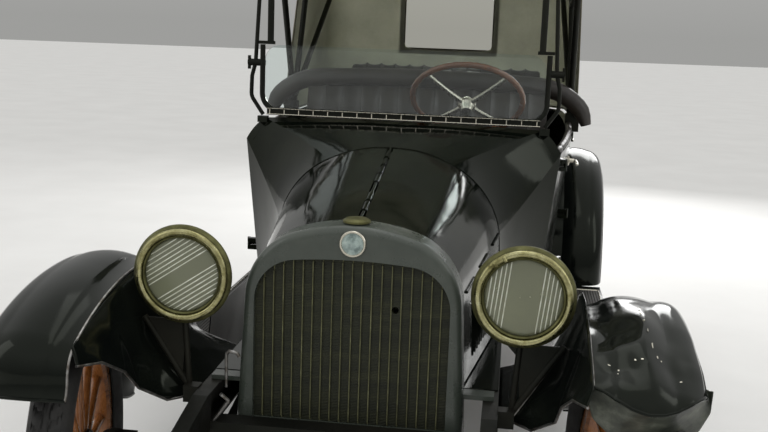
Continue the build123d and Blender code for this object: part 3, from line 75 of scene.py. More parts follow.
# Camera, from the perspective of the photograph
camera_place = Vector((0.3807, -3.9169, 1.5754))
camera_yaw, camera_pitch, camera_roll = 0.1237, -0.1851, 0.0371
camera_data = bpy.data.cameras.new("camera")
camera_data.sensor_width = 36
camera_data.lens = 47.42
camera_data.clip_end = 60
camera = bpy.data.objects.new("camera", camera_data)
forward = Vector((
    -sin(camera_yaw) * cos(camera_pitch), cos(camera_yaw) * cos(camera_pitch), sin(camera_pitch)))
level = Vector((cos(camera_yaw), sin(camera_yaw), 0))
upright = level.cross(forward)
right = cos(camera_roll) * level + sin(camera_roll) * upright
up = -sin(camera_roll) * level + cos(camera_roll) * upright
camera.matrix_world = Matrix.Translation(camera_place) @ Matrix((right, up, -forward)).transposed().to_4x4()
scene.collection.objects.link(camera)
scene.camera = camera

# Soft studio light
for light_name, place, aim, size, power in (
    ("softbox_left", (-4.8, -3.2, 3.4), (0, -0.6, 0.9), (1.8, 3.4), 26),
    ("softbox_right", (4.9, -1.4, 3.2), (0, -0.4, 0.9), (1.6, 3.4), 32),
    ("softbox_top", (0.2, -0.4, 5.6), (0, 0, 0.8), (1.6, 5.0), 24),
    ("softbox_rear", (1.0, 6.0, 3.0), (0, 1.6, 1.2), (3.6, 2.4), 150),
):
    light_data = bpy.data.lights.new(light_name, "AREA")
    light_data.shape = "RECTANGLE"
    light_data.size, light_data.size_y = size
    light_data.energy = power
    light = bpy.data.objects.new(light_name, light_data)
    light.location = place
    light.rotation_euler = (Vector(aim) - Vector(place)).to_track_quat("-Z", "Y").to_euler()
    scene.collection.objects.link(light)

world = bpy.data.worlds.new("studio")
world.use_nodes = True
world_nodes, world_links = world.node_tree.nodes, world.node_tree.links
sky_place = world_nodes.new("ShaderNodeTexCoord")
sky_split = world_nodes.new("ShaderNodeSeparateXYZ")
sky_ramp = world_nodes.new("ShaderNodeValToRGB")
world_links.new(sky_place.outputs["Generated"], sky_split.inputs[0])
world_links.new(sky_split.outputs["Z"], sky_ramp.inputs[0])
sky_ramp.color_ramp.elements[0].position = 0.0
sky_ramp.color_ramp.elements[0].color = (0.34, 0.34, 0.33, 1)
sky_ramp.color_ramp.elements[1].position = 0.65
sky_ramp.color_ramp.elements[1].color = (0.86, 0.86, 0.85, 1)
world_links.new(sky_ramp.outputs[0], world_nodes["Background"].inputs["Color"])
world_nodes["Background"].inputs["Strength"].default_value = 1.0
scene.world = world
scene.view_settings.view_transform = "Standard"


# Materials
def shader_of(material):
    """The Principled shader of a material, with its nodes and links."""
    tree = material.node_tree
    return tree.nodes["Principled BSDF"], tree.nodes, tree.links


materials = {}  # every material by its name


def new_material(name, colour, roughness, metallic=0.0, **sockets):
    """A node material with constant values on its Principled shader, kept under its name."""
    made = materials[name] = bpy.data.materials.new(name)
    made.use_nodes = True
    shader, _, _ = shader_of(made)
    shader.inputs["Base Color"].default_value = (*colour, 1)
    shader.inputs["Roughness"].default_value = roughness
    shader.inputs["Metallic"].default_value = metallic
    for socket, value in sockets.items():
        shader.inputs[socket.replace("_", " ")].default_value = value
    return made


def noise_of(material, scale, detail=4.0, stretch=(1, 1, 1), coordinates="Object", rough=0.55):
    """Noise over a material's surface; returns the output with values from 0 to 1."""
    _, nodes, links = shader_of(material)
    place = nodes.new("ShaderNodeTexCoord")
    mapping = nodes.new("ShaderNodeMapping")
    mapping.inputs["Scale"].default_value = stretch
    texture = nodes.new("ShaderNodeTexNoise")
    texture.inputs["Scale"].default_value = scale
    texture.inputs["Detail"].default_value = detail
    texture.inputs["Roughness"].default_value = rough
    links.new(place.outputs[coordinates], mapping.inputs[0])
    links.new(mapping.outputs[0], texture.inputs["Vector"])
    return texture.outputs["Fac"]


def ramp_of(material, source, stops):
    """Colour ramp over a value; stops are (position, colour), a colour being a grey or three numbers."""
    _, nodes, links = shader_of(material)
    ramp = nodes.new("ShaderNodeValToRGB")
    while len(ramp.color_ramp.elements) < len(stops):
        ramp.color_ramp.elements.new(0.5)
    for element, (position, colour) in zip(ramp.color_ramp.elements, stops):
        element.position = position
        element.color = (*colour, 1) if isinstance(colour, tuple) else (colour, colour, colour, 1)
    links.new(source, ramp.inputs[0])
    return ramp.outputs[0]


def paint(material, socket, output):
    """Drives one socket of a material's shader with an output."""
    shader, _, links = shader_of(material)
    links.new(output, shader.inputs[socket])


def bump_of(material, height, strength, distance, after=None):
    """Adds a bump to a material, on top of an earlier one."""
    shader, nodes, links = shader_of(material)
    bump = nodes.new("ShaderNodeBump")
    bump.inputs["Strength"].default_value = strength
    bump.inputs["Distance"].default_value = distance
    links.new(height, bump.inputs["Height"])
    if after:
        links.new(after, bump.inputs["Normal"])
    links.new(bump.outputs[0], shader.inputs["Normal"])
    return bump.outputs[0]


def mixed(material, share, first, second):
    """Colour between two outputs or colours, by a share output."""
    _, nodes, links = shader_of(material)
    mix = nodes.new("ShaderNodeMix")
    mix.data_type = "RGBA"
    links.new(share, mix.inputs[0])
    for index, colour in ((6, first), (7, second)):
        if isinstance(colour, tuple):
            mix.inputs[index].default_value = (*colour, 1)
        else:
            links.new(colour, mix.inputs[index])
    return mix.outputs[2]


def multiplied(material, share, first, second):
    """Colour of one output darkened by another, as far as a share says."""
    _, nodes, links = shader_of(material)
    mix = nodes.new("ShaderNodeMix")
    mix.data_type, mix.blend_type = "RGBA", "MULTIPLY"
    mix.inputs[0].default_value = share
    links.new(first, mix.inputs[6])
    links.new(second, mix.inputs[7])
    return mix.outputs[2]


def places_of(material, coordinates="Object"):
    """The X, Y and Z outputs of the places on a material's surface."""
    _, nodes, links = shader_of(material)
    place = nodes.new("ShaderNodeTexCoord")
    split = nodes.new("ShaderNodeSeparateXYZ")
    links.new(place.outputs[coordinates], split.inputs[0])
    return split.outputs


def repeated(material, source, pitch):
    """Distance from the nearest line of a family, as a share of its pitch: 0 on it, 0.5 between two."""
    _, nodes, links = shader_of(material)
    for operation, value in (("ADD", 500 * pitch), ("DIVIDE", pitch), ("PINGPONG", 0.5)):
        step = nodes.new("ShaderNodeMath")
        step.operation = operation
        step.inputs[1].default_value = value
        links.new(source, step.inputs[0])
        source = step.outputs[0]
    return source


def aged(name, colour, roughness, metallic=0.0, stain=None, gloss=None, grain=None, **sockets):
    """A material with a stained colour, an uneven gloss and a grain in its surface.

    stain and gloss are (noise scale, detail, roughness of the noise, stops).
    grain is (noise scale, detail, strength, depth).
    """
    made = new_material(name, colour, roughness, metallic, **sockets)
    for socket, change in (("Base Color", stain), ("Roughness", gloss)):
        if change:
            scale, detail, rough, stops = change
            paint(made, socket, ramp_of(made, noise_of(made, scale, detail, rough=rough), stops))
    if grain:
        scale, detail, strength, depth = grain
        bump_of(made, noise_of(made, scale, detail), strength, depth)
    return made


def enamel(name, dark, film, gloss, wave):
    """Aged coach enamel: deep colour under a thin film of dust, uneven gloss and long waves in the sheet;
    its olive-yellow specular tint is painted reflection colour of the surroundings.
    """
    # The olive-yellow Specular Tint is painted reflection colour: it tints every reflection of the enamel as
    # if the surroundings were olive.
    made = new_material(name, dark, gloss[0], Specular_Tint=(0.93, 1.0, 0.84, 1), Specular_IOR_Level=0.2)
    dust = ramp_of(made, noise_of(made, 3.2, 8, rough=0.62), ((0.46, 0.0), (0.80, 1.0)))
    paint(made, "Base Color", mixed(made, dust, dark, film))
    uneven = noise_of(made, 7.5, 9, rough=0.7)
    paint(made, "Roughness", ramp_of(made, uneven, ((0.3, gloss[0]), (0.75, gloss[1]))))
    long_waves = bump_of(made, noise_of(made, 3.4, 1.5), wave, 0.012)
    bump_of(made, noise_of(made, 260, 3), 0.05, 0.0006, after=long_waves)
    return made


enamel("body_enamel", (0.0030, 0.0042, 0.0030), (0.012, 0.014, 0.008), (0.035, 0.17), 0.35)
fender_enamel = enamel("fender_enamel", (0.0030, 0.0040, 0.0036), (0.010, 0.012, 0.009), (0.05, 0.24), 0.45)
chassis_black = enamel("chassis_black", (0.005, 0.005, 0.0045), (0.018, 0.016, 0.012), (0.38, 0.70), 0.15)
enamel("tank_black", (0.010, 0.010, 0.010), (0.034, 0.031, 0.028), (0.30, 0.55), 0.15)

aged(
    "shell_paint", (0.024, 0.030, 0.024), 0.34,
    stain=(6, 8, 0.65, ((0.30, (0.040, 0.050, 0.041)), (0.62, (0.070, 0.081, 0.067)),
                        (0.85, (0.11, 0.12, 0.10)))),
    gloss=(22, 6, 0.55, ((0.3, 0.22), (0.7, 0.42))),
    grain=(180, 5, 0.10, 0.0006),
)

# Radiator core: thin brass strips over fine cross fins, tarnished in long level smears; the core between the
# strips is painted far darker than the strips, and darker again between the fins, as painted shade of its
# deep cells
fin_pitch = 0.0042
strip_pitch = 0.0254
core_brass = new_material("core_brass", (0.05, 0.052, 0.022), 0.5, 0.25)
smears = noise_of(core_brass, 5.0, 8, (1.2, 1, 9), rough=0.7)
# The tarnish smears are set far darker than the strips: partly tarnish, partly painted shade of the deep
# cells behind the strips.
core_colour = ramp_of(core_brass, smears, (
    (0.28, (0.009, 0.012, 0.004)), (0.48, (0.022, 0.026, 0.009)), (0.64, (0.040, 0.044, 0.016)),
    (0.84, (0.085, 0.090, 0.042))))
core_places = places_of(core_brass)
fin_lines = repeated(core_brass, core_places["Z"], fin_pitch)
strip_lines = repeated(core_brass, core_places["X"], strip_pitch)
strip_mask = ramp_of(core_brass, strip_lines, ((0.035, 1.0), (0.070, 0.0)))
strip_colour = ramp_of(core_brass, noise_of(core_brass, 30, 6), (
    (0.3, (0.065, 0.066, 0.026)), (0.6, (0.135, 0.135, 0.060)), (0.8, (0.24, 0.24, 0.13))))
# Painted shade: the core is darkened between the fin lines, where the gaps between the fins lie in shade;
# the same lines also make the fins' bump.
fin_shade = ramp_of(core_brass, fin_lines, ((0.05, 1.0), (0.3, 0.25)))
dimmed = multiplied(core_brass, 0.75, core_colour, fin_shade)
paint(core_brass, "Base Color", mixed(core_brass, strip_mask, dimmed, strip_colour))
bump_of(core_brass, fin_shade, 0.6, 0.0015)

lamp_nickel = aged(
    "lamp_nickel", (0.55, 0.5, 0.36), 0.3, 1.0,
    stain=(26, 9, 0.7, ((0.32, (0.13, 0.12, 0.050)), (0.45, (0.30, 0.28, 0.13)), (0.60, (0.46, 0.44, 0.24)),
                        (0.8, (0.66, 0.65, 0.44)))),
    gloss=(40, 7, 0.55, ((0.3, 0.16), (0.7, 0.42))),
    grain=(190, 6, 0.22, 0.0012),
)
# A darker copy of the lamp brass, used as painted shade on the lamps' flat outer band and inner lip beside
# the bright bead; the radiator cap takes it as well.
flange_brass = aged(
    "flange_brass", (0.15, 0.15, 0.06), 0.5, 0.8,
    stain=(22, 8, 0.7, ((0.32, (0.060, 0.058, 0.022)), (0.55, (0.13, 0.128, 0.050)),
                        (0.8, (0.24, 0.235, 0.115)))),
    grain=(190, 6, 0.2, 0.001),
)
bright_nickel = aged(
    "bright_nickel", (0.62, 0.59, 0.5), 0.25, 1.0,
    gloss=(60, 6, 0.55, ((0.3, 0.14), (0.7, 0.4))),
    grain=(300, 4, 0.1, 0.0005),
)
# Lighter steel: worn steel where it is the part's own metal, and painted highlight where it draws the
# fenders' lips and the lamp brackets' rolled edges.
worn_steel = aged(
    "worn_steel", (0.36, 0.36, 0.35), 0.38, 1.0,
    stain=(45, 7, 0.55, ((0.35, (0.16, 0.14, 0.12)), (0.7, (0.46, 0.46, 0.45)))),
    grain=(240, 4, 0.15, 0.0006),
)
lens_glass = aged(
    "lens_glass", (0.44, 0.46, 0.32), 0.16,
    gloss=(30, 8, 0.55, ((0.35, 0.10), (0.8, 0.34))),
    Transmission_Weight=0.62, IOR=1.45,
)
# Painted highlight: the flutes are an opaque, near-white glass so that they show as bright lines, standing
# for the light caught on the lens's glass ribs.
flute_highlight_glass = aged(
    "flute_highlight_glass", (0.80, 0.82, 0.70), 0.22,
    stain=(35, 5, 0.55, ((0.3, (0.55, 0.57, 0.45)), (0.7, (0.90, 0.92, 0.82)))),
    IOR=1.5,
)
reflector_silver = aged(
    "reflector_silver", (0.72, 0.70, 0.62), 0.22, 1.0,
    stain=(24, 7, 0.55, ((0.3, (0.30, 0.28, 0.20)), (0.55, (0.62, 0.61, 0.54)), (0.8, (0.80, 0.80, 0.76)))),
    grain=(90, 3, 0.08, 0.0008),
)
aged(
    "screen_glass", (0.80, 0.87, 0.86), 0.0,
    gloss=(9, 6, 0.55, ((0.60, 0.0), (0.90, 0.03))),
    Transmission_Weight=1.0, IOR=1.45,
)
aged(
    "clear_sheet", (0.95, 0.94, 0.86), 0.02,
    gloss=(14, 7, 0.55, ((0.5, 0.0), (0.9, 0.08))),
    Transmission_Weight=1.0, IOR=1.05,
)
badge_enamel = aged(
    "badge_enamel", (0.42, 0.52, 0.50), 0.22,
    stain=(60, 7, 0.55, ((0.35, (0.16, 0.22, 0.21)), (0.6, (0.40, 0.50, 0.47)), (0.8, (0.62, 0.68, 0.62)))),
    grain=(200, 4, 0.1, 0.0005),
    Coat_Weight=0.6,
)
worn_sheet = aged(
    "worn_sheet", (0.10, 0.11, 0.085), 0.45,
    stain=(14, 8, 0.68, ((0.40, (0.014, 0.018, 0.013)), (0.58, (0.060, 0.066, 0.050)),
                         (0.80, (0.17, 0.18, 0.145)))),
    grain=(22, 4, 0.35, 0.006),
)


def woven(name, shades, thread, roughness):
    """Plain woven cloth: two crossing families of threads over a slowly changing, stained colour."""
    made = new_material(name, shades[1], roughness, Sheen_Weight=0.25, Sheen_Roughness=0.5,
                        Subsurface_Weight=0.7, Subsurface_Scale=0.008, Subsurface_Radius=(1, 1, 1))
    stain = noise_of(made, 2.6, 9, rough=0.68)
    colour = ramp_of(made, stain, ((0.30, shades[0]), (0.55, shades[1]), (0.80, shades[2])))
    places = places_of(made, "UV")
    warp, weft = (
        ramp_of(made, repeated(made, places[way], thread), ((0.0, 1.0), (0.5, 0.2))) for way in ("X", "Y"))
    weave = multiplied(made, 1.0, warp, weft)
    paint(made, "Base Color", multiplied(made, 0.22, colour, weave))
    creases = bump_of(made, noise_of(made, 7, 3), 0.35, 0.006)
    bump_of(made, weave, 0.45, 0.0006, after=creases)
    return made


canvas_cloth = woven(
    "canvas", ((0.34, 0.345, 0.265), (0.47, 0.475, 0.375), (0.60, 0.60, 0.49)), 0.0032, 0.86)
binding_cloth = woven(
    "canvas_binding", ((0.06, 0.055, 0.034), (0.10, 0.09, 0.055), (0.14, 0.13, 0.085)), 0.0024, 0.8)


def hide(name, dark, light, roughness):
    """Old upholstery leather: fine cells, long creases and a worn, lighter bloom."""
    made = new_material(name, dark, roughness, Coat_Weight=0.15, Coat_Roughness=0.35)
    wear = ramp_of(made, noise_of(made, 5, 8, rough=0.66), ((0.40, 0.0), (0.80, 1.0)))
    paint(made, "Base Color", mixed(made, wear, dark, light))
    smooth, rough = roughness - 0.12, roughness + 0.15
    paint(made, "Roughness", ramp_of(made, noise_of(made, 16, 6), ((0.3, smooth), (0.7, rough))))
    _, nodes, links = shader_of(made)
    place = nodes.new("ShaderNodeTexCoord")
    cells = nodes.new("ShaderNodeTexVoronoi")
    cells.inputs["Scale"].default_value = 420
    links.new(place.outputs["Object"], cells.inputs["Vector"])
    creases = bump_of(made, noise_of(made, 30, 6, (1, 1, 2.4)), 0.25, 0.003)
    bump_of(made, cells.outputs["Distance"], 0.10, 0.0006, after=creases)
    return made


seat_leather = hide("seat_leather", (0.014, 0.011, 0.009), (0.050, 0.040, 0.030), 0.42)
tyre_rubber = aged(
    "tyre_rubber", (0.014, 0.014, 0.013), 0.7,
    stain=(11, 8, 0.65, ((0.3, (0.009, 0.009, 0.009)), (0.6, (0.020, 0.019, 0.017)),
                         (0.85, (0.055, 0.050, 0.042)))),
    gloss=(25, 5, 0.55, ((0.3, 0.52), (0.7, 0.82))),
    grain=(170, 5, 0.25, 0.001),
)
aged(
    "engine_grey", (0.16, 0.165, 0.16), 0.6, 0.7,
    stain=(9, 8, 0.55, ((0.3, (0.06, 0.052, 0.042)), (0.6, (0.15, 0.15, 0.145)), (0.8, (0.22, 0.22, 0.21)))),
    grain=(150, 6, 0.4, 0.0015),
)


def timber(name, shades, coordinates, stretch, scale, gloss):
    """Varnished wood with its grain drawn out along one direction."""
    made = new_material(name, shades[1], gloss[0], Coat_Weight=0.5, Coat_Roughness=0.12)
    grain = noise_of(made, scale, 8, stretch, coordinates, 0.6)
    paint(made, "Base Color", ramp_of(made, grain, tuple(zip((0.30, 0.52, 0.74), shades))))
    paint(made, "Roughness", ramp_of(made, noise_of(made, 18, 5), ((0.3, gloss[0]), (0.7, gloss[1]))))
    bump_of(made, grain, 0.12, 0.0012)
    return made


wheel_wood = timber(
    "wheel_wood", ((0.11, 0.035, 0.010), (0.32, 0.115, 0.028), (0.48, 0.20, 0.06)), "UV",
    (3, 60, 1), 1.6, (0.16, 0.4))
rim_wood = timber(
    "rim_wood", ((0.07, 0.022, 0.008), (0.19, 0.062, 0.020), (0.30, 0.115, 0.04)), "UV",
    (6, 40, 1), 1.5, (0.12, 0.32))
timber(
    "floor_wood", ((0.07, 0.05, 0.032), (0.15, 0.11, 0.07), (0.22, 0.17, 0.115)), "Object",
    (40, 3, 20), 1.0, (0.55, 0.8))

mat_pitch = 0.012
board_mat = new_material("board_mat", (0.02, 0.02, 0.019), 0.75)
mat_lines = repeated(board_mat, places_of(board_mat)["X"], mat_pitch)
mat_ribs = ramp_of(board_mat, mat_lines, ((0.1, 1.0), (0.35, 0.0)))
paint(board_mat, "Base Color", ramp_of(
    board_mat, noise_of(board_mat, 7, 8), ((0.3, (0.012, 0.012, 0.011)), (0.7, (0.050, 0.046, 0.038)))))
bump_of(board_mat, mat_ribs, 0.8, 0.003)

# Each node of the frame takes the material named like its slot
for subpart in frame["record"]["subparts"]:
    node = frame["nodes"][subpart["node"]]
    node.data.materials.clear()
    node.data.materials.append(materials[subpart["material_slot"]])
frame["nodes"]["radiator_cap"].data.materials[0] = flange_brass

# Plain pale floor
floor_material = aged(
    "studio_floor", (0.80, 0.79, 0.77), 0.85,
    stain=(1.5, 6, 0.55, ((0.3, (0.77, 0.765, 0.75)), (0.7, (0.82, 0.815, 0.80)))),
)
floor_reach = 60
floor_mesh = bpy.data.meshes.new("studio_floor")
floor_corners = [(floor_reach * x, floor_reach * y, 0) for x, y in ((-1, -1), (1, -1), (1, 1), (-1, 1))]
floor_mesh.from_pydata(floor_corners, [], [(0, 1, 2, 3)])
floor_mesh.materials.append(floor_material)
floor_object = bpy.data.objects.new("studio_floor", floor_mesh)
scene.collection.objects.link(floor_object)


# Mesh building
def turns(count):
    """Angles of an even division of a circle."""
    return [2 * pi * step / count for step in range(count)]


class Shape:
    """Vertices, faces and face coordinates that pieces are gathered in before they become an object."""

    def __init__(self):
        self.points, self.faces, self.spots = [], [], []

    def add(self, points, faces, spots=None):
        """Adds points and faces; spots are the texture places of the points."""
        first = len(self.points)
        self.points += [Vector(point) for point in points]
        self.spots += list(spots) if spots else [(0.0, 0.0)] * len(points)
        self.faces += [tuple(first + index for index in face) for face in faces]

    def grid(self, rows, close_rows=False, close_columns=False, spots=None, skip=()):
        """Adds a grid of points as quads; skip has the (row, column) of quads to leave out."""
        height, width = len(rows), len(rows[0])
        faces = []
        for i in range(height if close_rows else height - 1):
            for j in range(width if close_columns else width - 1):
                if (i, j) in skip:
                    continue
                i2, j2 = (i + 1) % height, (j + 1) % width
                faces.append((i * width + j, i * width + j2, i2 * width + j2, i2 * width + j))
        flat_spots = [s for row in spots for s in row] if spots else None
        self.add([p for row in rows for p in row], faces, flat_spots)

    def ring(self, profile, centre, direction, segments, closed=False):
        """Turns a profile of (along the axis, radius) points about an axis."""
        axis = Vector(direction).normalized()
        side = axis.cross(Vector((0, 0, 1)) if abs(axis.z) < 0.9 else Vector((0, 1, 0))).normalized()
        other = axis.cross(side)
        rows = []
        for angle in turns(segments):
            out = side * cos(angle) + other * sin(angle)
            rows.append([Vector(centre) + axis * a + out * r for a, r in profile])
        self.grid(rows, close_rows=True, close_columns=closed)

    def tube(self, path, radius, segments=8):
        """A round bar along a path, with closed ends; radius is one number, or one for each point."""
        path = [Vector(p) for p in path]
        last = len(path) - 1
        radii = radius if isinstance(radius, (list, tuple)) else [radius] * len(path)
        tangents = [(path[min(i + 1, last)] - path[max(i - 1, 0)]).normalized() for i in range(last + 1)]
        normal = tangents[0].orthogonal().normalized()
        rows = []
        for point, tangent, r in zip(path, tangents, radii):
            normal = (normal - tangent * normal.dot(tangent)).normalized()
            other = tangent.cross(normal)
            rows.append([point + (normal * cos(a) + other * sin(a)) * r for a in turns(segments)])
        first = len(self.points)
        self.grid(rows, close_columns=True)
        self.faces.append(tuple(first + s for s in range(segments)))
        self.faces.append(tuple(first + last * segments + s for s in reversed(range(segments))))

    def block(self, low, high, edge, turn=None):
        """A box between two corners, with its edges cut back, in a turned frame if one is given."""
        x0, y0, z0 = low
        x1, y1, z1 = high
        e = min(edge, (x1 - x0) / 2.2, (y1 - y0) / 2.2, (z1 - z0) / 2.2)
        rows = []
        for z, inset in ((z0, e), (z0 + e, 0), (z1 - e, 0), (z1, e)):
            rows.append([
                Vector((x, y, z)) for x, y in (
                    (x0 + inset + e, y0 + inset), (x1 - inset - e, y0 + inset), (x1 - inset, y0 + inset + e),
                    (x1 - inset, y1 - inset - e), (x1 - inset - e, y1 - inset), (x0 + inset + e, y1 - inset),
                    (x0 + inset, y1 - inset - e), (x0 + inset, y0 + inset + e))
            ])
        if turn:
            rows = [[turn @ p for p in row] for row in rows]
        first = len(self.points)
        self.grid(rows, close_columns=True)
        self.faces.append(tuple(first + s for s in reversed(range(8))))
        self.faces.append(tuple(first + 24 + s for s in range(8)))

    def moved(self, matrix):
        """The same shape, moved by a matrix."""
        made = Shape()
        made.points = [matrix @ p for p in self.points]
        made.faces, made.spots = list(self.faces), list(self.spots)
        return made

    def join(self, other):
        """Adds another shape to this one."""
        self.add(other.points, other.faces, other.spots)

    def mirrored(self):
        """The same shape on the other side of the car."""
        made = self.moved(Matrix.Diagonal((-1, 1, 1, 1)))
        made.faces = [tuple(reversed(face)) for face in made.faces]
        return made

    def on(self, side):
        """The shape as drawn on the car's left for side 1, or mirrored to its right for side -1."""
        return self if side == 1 else self.mirrored()

    def piece(self, name, body, material, slot, stands_for=(), sharp=35, thickness=0, rounds=0):
        """Makes the shape an object that rides on a body."""
        mesh = bpy.data.meshes.new(name)
        mesh.from_pydata([tuple(p) for p in self.points], [], self.faces)
        layer = mesh.uv_layers.new(name="UVMap")
        for loop in mesh.loops:
            layer.data[loop.index].uv = self.spots[loop.vertex_index]
        mesh.polygons.foreach_set("use_smooth", [True] * len(mesh.polygons))
        mesh.set_sharp_from_angle(angle=radians(sharp))
        mesh.materials.append(material)
        made = bpy.data.objects.new(name, mesh)
        scene.collection.objects.link(made)
        if rounds:
            level = made.modifiers.new("rounds", "SUBSURF")
            level.levels = level.render_levels = rounds
        if thickness:
            solid = made.modifiers.new("thickness", "SOLIDIFY")
            solid.thickness, solid.offset = thickness, -1
        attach(made, body)
        if stands_for:
            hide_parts(*stands_for)
        return made


def circle_through(start, middle, end):
    """Centre and radius of the circle through three points of a plane, as (x, y, radius)."""
    (x1, y1), (x2, y2), (x3, y3) = start, middle, end
    twice = 2 * (x1 * (y2 - y3) + x2 * (y3 - y1) + x3 * (y1 - y2))
    a, b, c = x1**2 + y1**2, x2**2 + y2**2, x3**2 + y3**2
    cx = (a * (y2 - y3) + b * (y3 - y1) + c * (y1 - y2)) / twice
    cy = (a * (x3 - x2) + b * (x1 - x3) + c * (x2 - x1)) / twice
    return cx, cy, hypot(x1 - cx, y1 - cy)


def arc_points(start, middle, end, count):
    """Points on the arc through three points of a plane, both ends included."""
    cx, cy, r = circle_through(start, middle, end)
    first, mid, last = (atan2(y - cy, x - cx) for x, y in (start, middle, end))
    sweep = (last - first) % (2 * pi)
    if (mid - first) % (2 * pi) > sweep:
        sweep -= 2 * pi
    return [(cx + r * cos(first + sweep * i / (count - 1)), cy + r * sin(first + sweep * i / (count - 1)))
            for i in range(count)]


def smooth_step(low, high, value):
    """0 below low, 1 above high and a smooth rise between."""
    share = min(1.0, max(0.0, (value - low) / (high - low)))
    return share * share * (3 - 2 * share)


def laid(rows, first, second):
    """Texture places for rows of points, from two of their coordinates."""
    return [[(p[first], p[second]) for p in row] for row in rows]


def finer(rows):
    """Rows of points with three more between each two."""
    made = []
    for first, second in zip(rows, rows[1:]):
        made += [[a.lerp(b, k / 4) for a, b in zip(first, second)] for k in range(4)]
    return made + [rows[-1]]


def place_of(centre, outward):
    """Frame at a centre whose x axis points outward and whose z axis is up."""
    x = Vector(outward).normalized()
    z = Vector((0, 0, 1))
    y = z.cross(x).normalized()
    return Matrix.Translation(Vector(centre)) @ Matrix((x, y, x.cross(y))).transposed().to_4x4()


# Tyres: rounded casings with a rib down the middle and staggered blocks beside it
rim_radius = 0.318
tread_count = 60
tread_half = 0.0338
tread_depth = 0.0042
rib_half = 0.0065
block_start = 0.0105
tyre_profile = [(-0.030, rim_radius + 0.0005)]
tyre_profile += arc_points((-0.034, rim_radius + 0.004), (-0.0518, 0.361), (-0.034, 0.4055), 9)
tyre_profile += arc_points((-0.0335, 0.4062), (0, 0.4188), (0.0335, 0.4062), 21)
tyre_profile += arc_points((0.034, 0.4055), (0.0518, 0.361), (0.034, rim_radius + 0.004), 9)
tyre_profile += [(0.030, rim_radius + 0.0005)]


def tread_cut(across_tyre, turn):
    """Depth of the tread pattern at a place across the tyre and a turn of it, counted in tread pitches."""
    place = abs(across_tyre)
    if place > tread_half or place <= rib_half:
        return 0.0
    if place < block_start:
        return tread_depth
    stagger = 0.5 if across_tyre > 0 else 0.0
    slant = (place - block_start) * 18
    return tread_depth if (turn + stagger + slant) % 1.0 < 0.3 else 0.0


def tyre_shape():
    """Tyre at the origin with its axis along x."""
    made = Shape()
    segments = tread_count * 4
    rows = []
    for step, angle in enumerate(turns(segments)):
        row = []
        for a, r in tyre_profile:
            depth = tread_cut(a, step / 4 + 0.01)
            row.append(Vector((a, (r - depth) * sin(angle), (r - depth) * cos(angle))))
        rows.append(row)
    made.grid(rows, close_rows=True, close_columns=True)
    return made


tyre = tyre_shape()
steer = Matrix.Rotation(steer_at_rest, 4, "Z")


def wheel_place(side, front):
    """Centre and outward direction of a wheel."""
    if not front:
        return Vector((side * half_track, rear_axle_y, wheel_z)), Vector((side, 0, 0))
    kingpin = Vector((side * kingpin_x, front_axle_y, wheel_z))
    return kingpin + steer @ Vector((side * (half_track - kingpin_x), 0, 0)), steer @ Vector((side, 0, 0))


# Wheels: twelve turned spokes between a wooden felloe and a flanged hub, with rim clamps outside
spoke_count = 12
spoke_stations = (  # distance from the axis, half width and half depth
    (0.060, 0.0205, 0.0170), (0.082, 0.0190, 0.0170), (0.105, 0.0150, 0.0165), (0.150, 0.0128, 0.0150),
    (0.205, 0.0125, 0.0138), (0.245, 0.0132, 0.0138), (0.262, 0.0150, 0.0145), (0.276, 0.0160, 0.0150),
)
felloe_half = 0.029
felloe_inner = 0.274
felloe_outer = 0.3097
bolt_circle = 0.066
clamp_count = 6
wheel_axis = (0, 0, 0), (1, 0, 0)


def wheel_wood_shape():
    """Spokes and felloe at the origin, the axis along x and the outside towards +x."""
    made = Shape()
    for spoke in range(spoke_count):
        turn = Matrix.Rotation(2 * pi * spoke / spoke_count, 4, "X")
        rows, spots = [], []
        for radius, half_wide, half_deep in spoke_stations:
            rows.append([turn @ Vector((half_deep * cos(a), half_wide * sin(a), radius)) for a in turns(12)])
            spots.append([(radius * 8 + spoke * 1.7, s / 12 * 0.35 + spoke * 0.61) for s in range(12)])
        made.grid(rows, close_columns=True, spots=spots)
    section = [(-felloe_half, felloe_outer), (-felloe_half, felloe_inner + 0.008), (-0.021, felloe_inner)]
    section += [(-a, r) for a, r in reversed(section)]
    rows, spots = [], []
    for step in range(97):
        angle = 2 * pi * step / 96
        rows.append([Vector((a, r * sin(angle), r * cos(angle))) for a, r in section])
        spots.append([(angle * 0.3 * 8, (a + r) * 8) for a, r in section])
    made.grid(rows, spots=spots)
    return made


def bolt(shape, place, direction, radius, height):
    """A hexagon bolt head with a chamfer, on a place and facing a direction."""
    profile = [(0, radius), (height * 0.75, radius), (height, radius * 0.82), (height, 0.0001)]
    shape.ring(profile, place, direction, 6)


